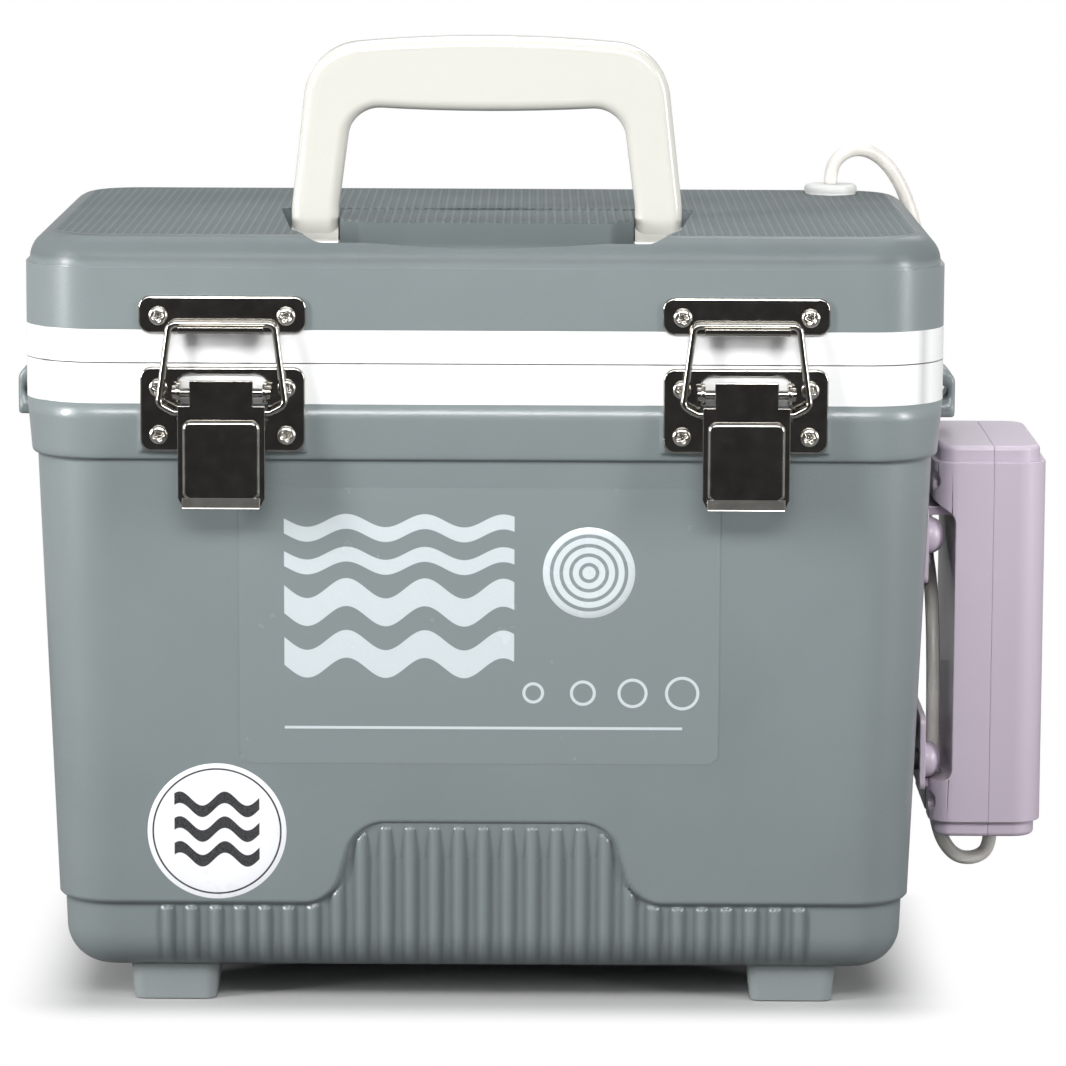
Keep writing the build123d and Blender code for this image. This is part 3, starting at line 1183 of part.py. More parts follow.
def make_pump_back_shell():
    shell = (pump_form() - channel_form(0) - pump_void()) & seam_block(True)
    shell -= hose_groove(0)
    low_tab = CHANNEL_LOW - TAB_OVERLAP
    high_tab = CHANNEL_HIGH - TAB_OVERLAP
    shell += pump_tab(low_tab, low_tab + TAB_RUN, low_tab, CHANNEL_LOW)
    shell += pump_tab(high_tab - TAB_RUN, high_tab, high_tab - 3, high_tab)
    shell -= hose_groove(0)
    for y, level in STUD_PLACES:
        shell -= rod((TAB_BACK - 2, y, level), (TAB_BACK + 4, y, level), STUD_SHANK + HOLE_GAP)
    for y, level in CASE_SCREW_PLACES:
        start = (PUMP_INNER - 2, y, level)
        shell -= rod(start, (PUMP_INNER + CASE_SCREW_DEEP, y, level), CASE_SCREW_SINK)
    for screw_post in case_posts(PUMP_INNER + CASE_SCREW_DEEP, PUMP_INNER + PUMP_SEAM):
        shell += screw_post
    for y, level in CASE_SCREW_PLACES:
        start = (PUMP_INNER + CASE_SCREW_DEEP - 1, y, level)
        shell -= rod(start, (PUMP_INNER + PUMP_SEAM + 1, y, level), SCREW_SHANK + HOLE_GAP)
    return shell


def case_posts(start_x, end_x):
    """Posts inside the case round the screws that hold its two shells together."""
    places = CASE_SCREW_PLACES
    radius = CASE_SCREW_SINK + 0.8
    inside = pump_form()
    return [rod((start_x, y, z), (end_x, y, z), radius) & inside for y, z in places]


def make_case_screws():
    """Screws sunk in the case's side towards the tub, holding its two shells together."""
    seat = PUMP_INNER + CASE_SCREW_DEEP
    bite = PUMP_SEAM - CASE_SCREW_DEEP + 6
    return group([screw((seat, y, z), (1, 0, 0), bite) for y, z in CASE_SCREW_PLACES])


def door_profile(gap):
    """Plan of the battery door: a flat strip with undercut edges, larger by a gap for its bed."""
    outer = PUMP_OUTER
    half = DOOR_HALF + gap
    slope = DOOR_BEVEL / DOOR_THICK
    out = outer + 4 * gap
    inner = outer - DOOR_THICK - gap
    narrow = half - 4 * gap * slope
    wide = half + DOOR_BEVEL
    points = [
        (out, DOOR_Y - narrow),
        (inner, DOOR_Y - wide),
        (inner, DOOR_Y + wide),
        (out, DOOR_Y + narrow),
    ]
    return make_face(Polyline(*points, close=True))


DOOR_LOW = PUMP_BOTTOM + DOOR_FOOT
DOOR_HIGH = PUMP_TOP - PUMP_CAP


def make_battery_door():
    door = prism(door_profile(0), DOOR_LOW, DOOR_HIGH)
    for step in range(4):
        groove = Pos(PUMP_OUTER, DOOR_Y, DOOR_HIGH - 12 - 3 * step) * Box(0.8, 14, 1.2)
        door -= groove
    return door


def make_pump_front_shell():
    shell = (pump_form() - pump_void()) & seam_block(False)
    bed = Pos(PUMP_OUTER, DOOR_Y, DOOR_LOW - 2) * Box(
        PUMP_CAP_INSET + 2 * PUMP_WALL,
        2 * (DOOR_HALF + 3),
        DOOR_HIGH - DOOR_LOW + 2,
        align=(Align.MAX, Align.CENTER, Align.MIN),
    )
    shell += bed & pump_form()
    for level in (HATCH_LOW - SHELF_THICK, HATCH_HIGH):
        shell += Pos(PUMP_INNER + PUMP_SEAM, DOOR_Y, level) * Box(
            PUMP_THICK - PUMP_SEAM - PUMP_CAP_INSET - PUMP_WALL,
            2 * (DOOR_HALF + 3),
            SHELF_THICK,
            align=(Align.MIN, Align.CENTER, Align.MIN),
        )
    shell -= prism(door_profile(DOOR_GAP), DOOR_LOW - DOOR_GAP, DOOR_HIGH + PUMP_CAP + 1)
    shell -= Pos(PUMP_OUTER, DOOR_Y, HATCH_LOW) * Box(
        20, 2 * HATCH_HALF, HATCH_HIGH - HATCH_LOW, align=(Align.CENTER, Align.CENTER, Align.MIN)
    )
    for screw_post in case_posts(PUMP_INNER + PUMP_SEAM, PUMP_INNER + PUMP_SEAM + 9):
        shell += screw_post
    for y, level in CASE_SCREW_PLACES:
        start = (PUMP_INNER + PUMP_SEAM - 1, y, level)
        shell -= rod(start, (PUMP_INNER + PUMP_SEAM + 6.5, y, level), SCREW_SHANK + HOLE_GAP)
    slot = Pos(PUMP_OUTER, SWITCH_Y, SWITCH_Z + SWITCH_TRAVEL / 2) * Box(
        20, 2 * (SWITCH_HALF_Y + SWITCH_GAP), 2 * SWITCH_HALF_Z + SWITCH_TRAVEL + 2 * SWITCH_GAP
    )
    shell -= slot
    outlet_low = (OUTLET_X, OUTLET_Y, PUMP_BOTTOM - 2)
    outlet_high = (OUTLET_X, OUTLET_Y, PUMP_BOTTOM + PUMP_WALL + 1)
    shell -= rod(outlet_low, outlet_high, BARB_RADIUS + HOLE_GAP)
    return shell


SWITCH_Z = PUMP_TOP - SWITCH_DROP


def make_pump_switch():
    """Slide switch: a button in a slot of the case and a wider foot behind the wall."""
    outer = PUMP_OUTER
    behind = outer - PUMP_CAP_INSET - PUMP_WALL - SWITCH_GAP
    reach = outer + SWITCH_PROUD - behind
    button = Pos(behind, SWITCH_Y, SWITCH_Z) * Box(
        reach, 2 * SWITCH_HALF_Y, 2 * SWITCH_HALF_Z, align=(Align.MIN, Align.CENTER, Align.CENTER)
    )
    button = fillet(button.faces().sort_by(Axis.X)[-1].edges(), 0.8)
    foot = Pos(behind, SWITCH_Y, SWITCH_Z) * Box(
        1.6, 2 * SWITCH_HALF_Y + 3, 2 * SWITCH_HALF_Z + 3, align=(Align.MAX, Align.CENTER, Align.CENTER)
    )
    return button + foot


def make_standoffs(tub):
    """Rubber sleeves between the tub's wall and the pump's two tabs."""
    sleeves = []
    for y, level in STUD_PLACES:
        wall = (wall_half_x(level) - 1, y, level)
        tab = (TAB_BACK, y, level)
        sleeves.append(rod(wall, tab, STANDOFF_RADIUS) - rod(wall, tab, STUD_SHANK + HOLE_GAP) - tub)
    return group(sleeves)


def make_pump_screws():
    """Dome-headed screws through the tabs and sleeves into the tub's wall."""
    screws = []
    for y, level in STUD_PLACES:
        seat = TAB_BACK + TAB_THICK
        dome = Pos(seat, y, level) * Rot(0, 90, 0) * Cylinder(
            STUD_DOME, STUD_DOME_TALL, align=(Align.CENTER, Align.CENTER, Align.MIN)
        )
        dome = fillet(dome.edges().sort_by(Axis.X)[-1], STUD_DOME_TALL * 0.9)
        tip = wall_half_x(level) - TUB_WALL - 3
        screws.append(dome + rod((tip, y, level), (seat + 0.5, y, level), STUD_SHANK))
    return group(screws)


HATCH_LOW = DOOR_LOW + HATCH_LEDGE
HATCH_HIGH = DOOR_HIGH - HATCH_LEDGE
CELL_X = PUMP_OUTER - DOOR_THICK - CELL_DOOR_GAP - CELL_RADIUS
CELL_FLOOR = HATCH_LOW + CONTACT_THICK


def make_battery_spring():
    """Bottom contact: a plate with a coiled spring, kept as a ribbed cone."""
    plate = Pos(CELL_X, DOOR_Y, HATCH_LOW) * Box(
        12, 12, CONTACT_THICK, align=(Align.CENTER, Align.CENTER, Align.MIN)
    )
    standing = (Align.CENTER, Align.CENTER, Align.MIN)
    cone = Pos(CELL_X, DOOR_Y, CELL_FLOOR) * Cone(5.0, 3.0, SPRING_TALL, align=standing)
    core = Pos(CELL_X, DOOR_Y, CELL_FLOOR) * Cone(4.0, 2.0, SPRING_TALL, align=standing)
    return plate + (cone - core)


def make_cells():
    """Two cells, one on the other."""
    cells = []
    base = CELL_FLOOR + SPRING_TALL
    for index in range(2):
        low = base + index * (CELL_LENGTH + CELL_NUB_TALL)
        can = rod((CELL_X, DOOR_Y, low), (CELL_X, DOOR_Y, low + CELL_LENGTH), CELL_RADIUS)
        top = low + CELL_LENGTH
        nub = rod((CELL_X, DOOR_Y, top), (CELL_X, DOOR_Y, top + CELL_NUB_TALL), CELL_NUB)
        cells.append(can + nub)
    return group(cells)


CELL_TOP = CELL_FLOOR + SPRING_TALL + 2 * (CELL_LENGTH + CELL_NUB_TALL)


def make_top_contact():
    """Top contact: a strip on the cell's nub, bent up to the shelf over it."""
    plate = Pos(CELL_X, DOOR_Y, CELL_TOP) * Box(
        14, 10, CONTACT_THICK, align=(Align.CENTER, Align.CENTER, Align.MIN)
    )
    height = HATCH_HIGH - CELL_TOP
    upright = Pos(CELL_X - 7, DOOR_Y, CELL_TOP) * Box(
        CONTACT_THICK, 10, height, align=(Align.MIN, Align.CENTER, Align.MIN)
    )
    return plate + upright


HEAD_LOW = PUMP_BOTTOM + PUMP_WALL
MOTOR_LOW = HEAD_LOW + HEAD_TALL + MOTOR_ABOVE_HEAD


def make_pump_head():
    """Valve block and diaphragm chamber with the outlet barb under it."""
    block = Pos(OUTLET_X, OUTLET_Y, HEAD_LOW) * Box(
        HEAD_SIDE * 0.9, HEAD_SIDE, HEAD_TALL, align=(Align.CENTER, Align.CENTER, Align.MIN)
    )
    barb = rod((OUTLET_X, OUTLET_Y, BARB_END), (OUTLET_X, OUTLET_Y, HEAD_LOW + 1), BARB_RADIUS)
    bore = rod((OUTLET_X, OUTLET_Y, BARB_END - 1), (OUTLET_X, OUTLET_Y, HEAD_LOW + 6), BARB_RADIUS * 0.55)
    return block + barb - bore


def make_diaphragm():
    """Rubber diaphragm: a domed disc with a boss that the crank pin drives."""
    top = HEAD_LOW + HEAD_TALL
    disc = Pos(OUTLET_X, OUTLET_Y, top) * Cone(9.0, 5.0, 5.0, align=(Align.CENTER, Align.CENTER, Align.MIN))
    boss = rod((OUTLET_X, OUTLET_Y, top + 4), (OUTLET_X, OUTLET_Y, top + 9), 2.5)
    return disc + boss


def make_motor_crank():
    """Disc on the motor shaft with an offset pin that works the diaphragm."""
    low = MOTOR_LOW - 1.0 - CRANK_DISC_THICK
    disc = rod((OUTLET_X, OUTLET_Y, low), (OUTLET_X, OUTLET_Y, low + CRANK_DISC_THICK), CRANK_DISC)
    disc -= rod((OUTLET_X, OUTLET_Y, low + 1), (OUTLET_X, OUTLET_Y, MOTOR_LOW), MOTOR_SHAFT + HOLE_GAP / 2)
    foot = HEAD_LOW + HEAD_TALL + 9.0
    return disc + rod((OUTLET_X + 1.4, OUTLET_Y, foot), (OUTLET_X + 1.4, OUTLET_Y, low + 0.5), 1.2)


def make_motor():
    body = rod((OUTLET_X, OUTLET_Y, MOTOR_LOW), (OUTLET_X, OUTLET_Y, MOTOR_LOW + MOTOR_LENGTH), MOTOR_RADIUS)
    shaft = rod((OUTLET_X, OUTLET_Y, MOTOR_LOW - 3.9), (OUTLET_X, OUTLET_Y, MOTOR_LOW + 1), MOTOR_SHAFT)
    return body + shaft


def make_motor_cradle():
    """Two moulded saddles that hold the motor off the back shell."""
    saddles = []
    wall = PUMP_INNER + CHANNEL_DEPTH + PUMP_WALL
    for level in (MOTOR_LOW + 5, MOTOR_LOW + MOTOR_LENGTH - 5):
        web = Pos(wall, OUTLET_Y, level) * Box(
            OUTLET_X - wall, 16, 2.4, align=(Align.MIN, Align.CENTER, Align.CENTER)
        )
        round_cut = rod((OUTLET_X, OUTLET_Y, level - 3), (OUTLET_X, OUTLET_Y, level + 3), MOTOR_RADIUS + 0.1)
        saddles.append(web - round_cut)
    return group(saddles)


# ---------------------------------------------------------------- screws as nodes
def keeper_screw_set():
    out = FRONT - PLATE_THICK
    bite = PLATE_THICK + SCREW_BITE
    sets = []
    for x in LATCH_SIDES.values():
        sets += [screw((px, out, pz), (0, 1, 0), bite) for px, _, pz in latch_screws(x, [KEEPER_SCREW_Z])]
    return group(sets)


def base_screw_set():
    out = FRONT - PLATE_THICK
    bite = PLATE_THICK + SCREW_BITE
    sets = []
    for x in LATCH_SIDES.values():
        sets += [screw((px, out, pz), (0, 1, 0), bite) for px, _, pz in latch_screws(x, BASE_SCREW_LEVELS)]
    return group(sets)


def hinge_screw_set(sign):
    out = BACK + HINGE_SHEET
    bite = HINGE_SHEET + SCREW_BITE
    return group([screw((px, out, pz), (0, -1, 0), bite) for px, _, pz in hinge_screws(sign)])


# ---------------------------------------------------------------- build and write
outer_tub = make_outer_tub()
PARTS["outer_tub"] = outer_tub
PARTS["tub_foam"] = make_tub_foam()
PARTS["inner_liner"] = make_inner_liner()
for name_x, sx in (("left", -1), ("right", 1)):
    for name_y, sy in (("front", -1), ("back", 1)):
        PARTS[f"foot_{name_y}_{name_x}"] = make_foot(sx, sy, outer_tub)
PARTS["lid_shell"] = make_lid_shell()
PARTS["lid_foam"] = make_lid_foam()
PARTS["lid_liner"] = make_lid_liner()
PARTS["lid_gasket"] = gasket_ring(0, SPLIT, SPLIT + GASKET_HEIGHT)
PARTS["handle"] = make_handle()
PARTS["handle_pins"] = make_handle_pins()
for side, side_x in LATCH_SIDES.items():
    PARTS[f"latch_keeper_{side}"] = make_keeper(side_x)
    PARTS[f"latch_base_{side}"] = make_base_plate(side_x)
    PARTS[f"latch_pin_{side}"] = make_latch_pin(side_x)
    PARTS[f"latch_lever_{side}"] = make_lever(side_x)
    PARTS[f"latch_bail_{side}"] = make_bail(side_x)
PARTS["keeper_screws"] = keeper_screw_set()
PARTS["latch_base_screws"] = base_screw_set()
for side, side_x in (("left", -HINGE_X), ("right", HINGE_X)):
    PARTS[f"hinge_lid_leaf_{side}"] = hinge_leaf(1, side_x)
    PARTS[f"hinge_tub_leaf_{side}"] = hinge_leaf(-1, side_x)
    PARTS[f"hinge_pin_{side}"] = make_hinge_pin(side_x)
PARTS["hinge_lid_screws"] = hinge_screw_set(1)
PARTS["hinge_tub_screws"] = hinge_screw_set(-1)
PARTS["hose_fitting"] = make_fitting()
PARTS["fitting_washer"] = make_fitting_washer()
PARTS["air_hose"] = cord_tube(AIR_HOSE_ROUTE, HOSE_RADIUS, "air_hose")
PARTS["inner_hose"] = cord_tube(INNER_HOSE_ROUTE, HOSE_RADIUS, "inner_hose")
PARTS["air_stone"] = make_air_stone()
PARTS["pump_back_shell"] = make_pump_back_shell()
PARTS["pump_front_shell"] = make_pump_front_shell()
PARTS["battery_door"] = make_battery_door()
PARTS["pump_switch"] = make_pump_switch()
PARTS["pump_case_screws"] = make_case_screws()
PARTS["pump_standoffs"] = make_standoffs(outer_tub)
PARTS["pump_screws"] = make_pump_screws()
PARTS["battery_spring"] = make_battery_spring()
PARTS["battery_cells"] = make_cells()
PARTS["battery_top_contact"] = make_top_contact()
PARTS["pump_head"] = make_pump_head()
PARTS["pump_diaphragm"] = make_diaphragm()
PARTS["motor_crank"] = make_motor_crank()
PARTS["pump_motor"] = make_motor()
PARTS["motor_saddles"] = make_motor_cradle()

os.makedirs("parts", exist_ok=True)
for name, shape in PARTS.items():
    export_step(shape, f"parts/{name}.step")
    print(name, "solids", len(shape.solids()), "volume", round(shape.volume))
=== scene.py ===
from functools import partial
from math import pi, radians

import bmesh
import bpy
import numpy as np
from mathutils import Matrix, Vector


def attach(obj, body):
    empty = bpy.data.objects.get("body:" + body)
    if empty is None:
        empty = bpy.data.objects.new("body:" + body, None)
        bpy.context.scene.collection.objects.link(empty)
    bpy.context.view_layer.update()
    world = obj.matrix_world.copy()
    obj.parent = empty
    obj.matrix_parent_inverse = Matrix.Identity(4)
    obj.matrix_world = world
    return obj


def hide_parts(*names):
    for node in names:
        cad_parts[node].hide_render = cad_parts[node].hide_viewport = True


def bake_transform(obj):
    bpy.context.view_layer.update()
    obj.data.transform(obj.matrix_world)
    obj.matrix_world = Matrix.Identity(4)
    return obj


# Insulated live-bait box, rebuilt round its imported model. Z is up, and the latches face -Y.
# Blender's unit is the metre. From the outer tub on, sizes of meshes are in millimetres, which
# MM makes metres. Sizes inside the materials stay in metres, as Object coordinates are.
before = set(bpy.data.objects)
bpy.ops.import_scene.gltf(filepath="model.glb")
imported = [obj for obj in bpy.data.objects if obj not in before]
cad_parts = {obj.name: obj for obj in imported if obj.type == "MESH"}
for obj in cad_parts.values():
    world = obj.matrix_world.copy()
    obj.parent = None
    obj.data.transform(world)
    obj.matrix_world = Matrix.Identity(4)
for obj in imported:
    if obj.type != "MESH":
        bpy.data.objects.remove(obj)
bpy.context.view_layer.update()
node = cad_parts
scene = bpy.context.scene
scene.view_settings.view_transform = "Standard"


# ---------------------------------------------------------------- studio table: floor and light
# A white sheet on a table. Near the box it takes a soft shadow, deepened by a painted shadow
# in the grey the camera sees there, and further out it runs into the white room.
SHADOW_HALF = (0.130, 0.080, 0.0)
SHADOW_FADE = 0.034
PAPER_BOUNCE = 0.24
# Painted shadow: the paper's grey as the camera sees it near the box, which deepens the shadow
# there.
PAPER_SEEN_PAINTED_SHADOW = 0.52
TABLE_REACH = 0.6
TABLE_DROP = 0.0004
WHITE = (1.0, 1.0, 1.0, 1.0)


def feed(tree, socket, value):
    """Gives an input its value: a plain one, or whatever another node's output sends."""
    if isinstance(value, bpy.types.NodeSocket):
        tree.links.new(value, socket)
    else:
        socket.default_value = value


def add_node(tree, kind, **settings):
    """A shader node with its settings and, for names that are inputs, its input values."""
    made = tree.nodes.new(kind)
    for name, value in settings.items():
        if hasattr(made, name):
            setattr(made, name, value)
        else:
            feed(tree, made.inputs[name.replace("_", " ")], value)
    return made


def number(tree, operation, first, second=None):
    """A Math node on one or two values; each is an output or a plain number."""
    made = add_node(tree, "ShaderNodeMath", operation=operation)
    feed(tree, made.inputs[0], first)
    if second is not None:
        feed(tree, made.inputs[1], second)
    return made.outputs["Value"]


def soft_mask(tree, value, start, end, low=0.0, high=1.0):
    """Low up to the start and high from the end on, with a smooth slope between them."""
    return add_node(
        tree, "ShaderNodeMapRange", interpolation_type="SMOOTHSTEP",
        Value=value, From_Min=start, From_Max=end, To_Min=low, To_Max=high,
    ).outputs["Result"]


def beyond_rectangle(tree, place, half):
    """Distance outside a rectangle round the origin: the length of what a point's distances
    along the axes exceed the half sides by."""
    folded = add_node(tree, "ShaderNodeVectorMath", operation="ABSOLUTE", Vector=place)
    outside = add_node(
        tree, "ShaderNodeVectorMath", operation="SUBTRACT", Vector=folded.outputs["Vector"]
    )
    outside.inputs[1].default_value = half
    beyond = add_node(
        tree, "ShaderNodeVectorMath", operation="MAXIMUM", Vector=outside.outputs["Vector"]
    )
    beyond.inputs[1].default_value = (0.0, 0.0, 0.0)
    reach = add_node(
        tree, "ShaderNodeVectorMath", operation="LENGTH", Vector=beyond.outputs["Vector"]
    )
    return reach.outputs["Value"]


def mixed_colour(tree, share, plain, other):
    """The plain colour where the share is nought, and the other where it is one."""
    mix = add_node(tree, "ShaderNodeMix", data_type="RGBA", Factor=share, A=plain, B=other)
    return mix.outputs[2]


def mixed_shader(tree, share, first, second, output):
    """Shows the first shader where the share is nought, and the second where it is one."""
    mix = add_node(tree, "ShaderNodeMixShader")
    for socket, value in zip(mix.inputs, (share, first.outputs[0], second.outputs[0])):
        tree.links.new(value, socket)
    tree.links.new(mix.outputs[0], output.inputs["Surface"])


def empty_material(name):
    """A new material with only its output node."""
    material = bpy.data.materials.new(name)
    material.use_nodes = True
    tree = material.node_tree
    tree.nodes.clear()
    return material, tree, tree.nodes.new("ShaderNodeOutputMaterial")


def table_paper():
    """White paper that fades out into the room's white with the distance outside the box's
    footprint. Near the box the camera sees it grey, a painted shadow that deepens the real one.
    It sends less light back to the box than the camera sees on it."""
    material, tree, output = empty_material("table_paper")
    place = add_node(tree, "ShaderNodeTexCoord").outputs["Object"]
    fade = soft_mask(tree, beyond_rectangle(tree, place, SHADOW_HALF), 0.0, SHADOW_FADE)
    seen = add_node(tree, "ShaderNodeLightPath").outputs["Is Camera Ray"]
    tones = [(grey_level,) * 3 + (1.0,) for grey_level in (PAPER_BOUNCE, PAPER_SEEN_PAINTED_SHADOW)]
    paper = add_node(tree, "ShaderNodeBsdfDiffuse", Color=mixed_colour(tree, seen, *tones))
    white = add_node(tree, "ShaderNodeEmission", Color=WHITE)
    mixed_shader(tree, number(tree, "MULTIPLY", seen, fade), paper, white, output)
    return material


def put_mesh(name, points, faces, material):
    """A smooth mesh object from an array of points and a list of faces, at the origin."""
    mesh = bpy.data.meshes.new(name)
    mesh.from_pydata(np.asarray(points, float).tolist(), [], [list(f) for f in faces])
    mesh.materials.append(material)
    mesh.polygons.foreach_set("use_smooth", np.ones(len(mesh.polygons), bool))
    mesh.update()
    made = bpy.data.objects.new(name, mesh)
    scene.collection.objects.link(made)
    return made


table_corners = TABLE_REACH * np.array([[-1, -1, 0], [1, -1, 0], [1, 1, 0], [-1, 1, 0]], float)
table = put_mesh("table", table_corners - [0, 0, TABLE_DROP], [(0, 1, 2, 3)], table_paper())

ROOM_TINT = (0.95, 0.97, 1.0, 1.0)
ROOM_FILL = 0.24
MIRRORED_FRONT = 0.05
MIRRORED_BACK = 0.5
RISE_START, RISE_END = -0.95, -0.10


def split(tree, place):
    """The x, y and z of a place, each an output."""
    return add_node(tree, "ShaderNodeSeparateXYZ", Vector=place).outputs


def white_room():
    """A room that is white to the camera and lights the box softly. What a shiny surface
    mirrors of it is dim at the front and rises smoothly towards the back."""
    world = bpy.data.worlds.new("white_room")
    scene.world = world
    world.use_nodes = True
    tree = world.node_tree
    tree.nodes.clear()
    rays = add_node(tree, "ShaderNodeLightPath").outputs
    seen = number(tree, "MAXIMUM", rays["Is Camera Ray"], rays["Is Transmission Ray"])
    shown = number(tree, "MAXIMUM", seen, rays["Is Glossy Ray"])
    heading = split(tree, add_node(tree, "ShaderNodeTexCoord").outputs["Generated"])
    levels = (MIRRORED_FRONT, MIRRORED_BACK)
    mirrored = soft_mask(tree, heading["Y"], RISE_START, RISE_END, *levels)
    strength = number(tree, "MAXIMUM", seen, mirrored)
    fill = add_node(tree, "ShaderNodeBackground", Color=ROOM_TINT, Strength=ROOM_FILL)
    white = add_node(tree, "ShaderNodeBackground", Color=WHITE, Strength=strength)
    mixed_shader(tree, shown, fill, white, tree.nodes.new("ShaderNodeOutputWorld"))


white_room()


def softbox(name, place, aim, width, height, power, spread=180.0):
    """A large rectangular lamp at a place, turned to face a point. A honeycomb grid in front of it
    may narrow its beam to a spread in degrees."""
    lamp = bpy.data.lights.new(name, "AREA")
    lamp.shape = "RECTANGLE"
    lamp.size = width
    lamp.size_y = height
    lamp.energy = power
    lamp.spread = radians(spread)
    made = bpy.data.objects.new(name, lamp)
    made.location = place
    made.rotation_euler = (Vector(aim) - Vector(place)).to_track_quat("-Z", "Y").to_euler()
    scene.collection.objects.link(made)


BOX_HEART = (0.0, 0.0, 0.14)
LID_HEART = (0.0, -0.10, 0.27)
softbox("lamp_overhead", (0.0, 0.24, 1.30), BOX_HEART, 1.1, 0.6, 6.2)
softbox("lamp_back", (0.30, 1.30, 1.20), BOX_HEART, 1.0, 0.6, 6.0)
softbox("lamp_left", (-1.30, -0.74, 0.60), LID_HEART, 0.22, 0.8, 4.2, 70.0)
softbox("lamp_right", (1.30, -0.74, 0.55), LID_HEART, 0.20, 0.8, 2.3, 70.0)
softbox("lamp_front", (-0.05, -0.80, 0.64), (-0.05, -0.10, 0.28), 1.1, 0.20, 1.5, 60.0)

CAMERA_PLACE = (0.0162, -1.8025, 0.4157)
CAMERA_DOWN = 8.45
CAMERA_ROLL = 0.25
SENSOR_WIDTH = 36.0
IMAGE_PIXELS = 1066.0
FOCAL_PIXELS = 5215.0
camera_data = bpy.data.cameras.new("camera")
camera_data.sensor_width = SENSOR_WIDTH
camera_data.lens = FOCAL_PIXELS * SENSOR_WIDTH / IMAGE_PIXELS
camera = bpy.data.objects.new("camera", camera_data)
camera.matrix_world = (
    Matrix.Translation(CAMERA_PLACE)
    @ Matrix.Rotation(radians(90.0 - CAMERA_DOWN), 4, "X")
    @ Matrix.Rotation(radians(CAMERA_ROLL), 4, "Z")
)
scene.collection.objects.link(camera)
scene.camera = camera


# ---------------------------------------------------------------- air hose
# Soft milky vinyl tubing. It leaves the pump's underside in a tight loop, climbs the groove in
# the pump's back, and arches over the lid's corner into the fitting.
def route_points(route):
    """Points read along the smooth NURBS line that has the route as its control points."""
    curve = bpy.data.curves.new("route", "CURVE")
    curve.dimensions = "3D"
    curve.resolution_u = 10
    spline = curve.splines.new("NURBS")
    spline.points.add(len(route) - 1)
    flat = np.column_stack([route, np.ones(len(route))])
    spline.points.foreach_set("co", flat.ravel())
    spline.order_u = 3
    spline.use_endpoint_u = True
    guide = bpy.data.objects.new("route", curve)
    scene.collection.objects.link(guide)
    bpy.context.view_layer.update()
    graph = bpy.context.evaluated_depsgraph_get()
    mesh = bpy.data.meshes.new_from_object(guide.evaluated_get(graph))
    found = np.empty(len(mesh.vertices) * 3)
    mesh.vertices.foreach_get("co", found)
    bpy.data.objects.remove(guide)
    bpy.data.meshes.remove(mesh)
    return found.reshape(-1, 3)


def loft_rings(rings, close_first=True, close_last=True):
    """Quads between rings of equal count, and a fan to the middle of each end ring."""
    count = len(rings[0])
    points = np.vstack(rings)
    i, j = np.meshgrid(np.arange(len(rings) - 1), np.arange(count), indexing="ij")
    a = (i * count + j).ravel()
    b = (i * count + (j + 1) % count).ravel()
    faces = np.column_stack([a, b, b + count, a + count]).tolist()
    k = np.arange(count)
    after = (k + 1) % count
    if close_first:
        points = np.vstack([points, rings[0].mean(axis=0)])
        faces += np.column_stack([after, k, np.full(count, len(points) - 1)]).tolist()
    if close_last:
        points = np.vstack([points, rings[-1].mean(axis=0)])
        top = (len(rings) - 1) * count
        middle = np.full(count, len(points) - 1)
        faces += np.column_stack([top + k, top + after, middle]).tolist()
    return points, faces


# A direction that no hose starts along, to set the first ring's frame from.
SLANT = (0.31, 0.87, 0.38)


def tube_skin(line, radius, sides=20):
    """A closed tube along a line of points. Each ring stands square to the line, and its frame
    is turned from the last one's by the smallest turn, so that the tube doesn't twist."""
    along = np.gradient(line, axis=0)
    along /= np.linalg.norm(along, axis=1)[:, None]
    side = np.cross(along[0], SLANT)
    sides_u = np.empty_like(line)
    for i, direction in enumerate(along):
        side = side - direction * side.dot(direction)
        side /= np.linalg.norm(side)
        sides_u[i] = side
    sides_v = np.cross(along, sides_u)
    angle = np.linspace(0, 2 * pi, sides, endpoint=False)[None, :, None]
    ring = np.cos(angle) * sides_u[:, None] + np.sin(angle) * sides_v[:, None]
    return loft_rings(list(line[:, None] + radius * ring))


def new_finish(name, colour, roughness, **settings):
    """A material of one Principled shader, with its tree, its shader and the place of a point
    in Object coordinates."""
    material, tree, output = empty_material(name)
    shader = add_node(
        tree, "ShaderNodeBsdfPrincipled",
        Base_Color=(*colour, 1.0), Roughness=roughness, **settings,
    )
    tree.links.new(shader.outputs[0], output.inputs["Surface"])
    return material, tree, shader, add_node(tree, "ShaderNodeTexCoord").outputs["Object"]


def cloudy(tree, place, scale, detail, low, high):
    """Noise at a place, its middle values spread from low to high."""
    noise = add_node(tree, "ShaderNodeTexNoise", Vector=place, Scale=scale, Detail=detail)
    return add_node(
        tree, "ShaderNodeMapRange", Value=noise.outputs["Fac"],
        From_Min=0.3, From_Max=0.7, To_Min=low, To_Max=high,
    ).outputs["Result"]


def tint(tree, shader, colour, level):
    """Gives the shader a colour times a level."""
    scaled = add_node(
        tree, "ShaderNodeVectorMath", operation="SCALE", Vector=colour, Scale=level
    )
    tree.links.new(scaled.outputs["Vector"], shader.inputs["Base Color"])


def grain(tree, shader, height, depth):
    """Bump from a height output, with its depth in metres."""
    bump = add_node(tree, "ShaderNodeBump", Distance=depth, Height=height)
    tree.links.new(bump.outputs["Normal"], shader.inputs["Normal"])


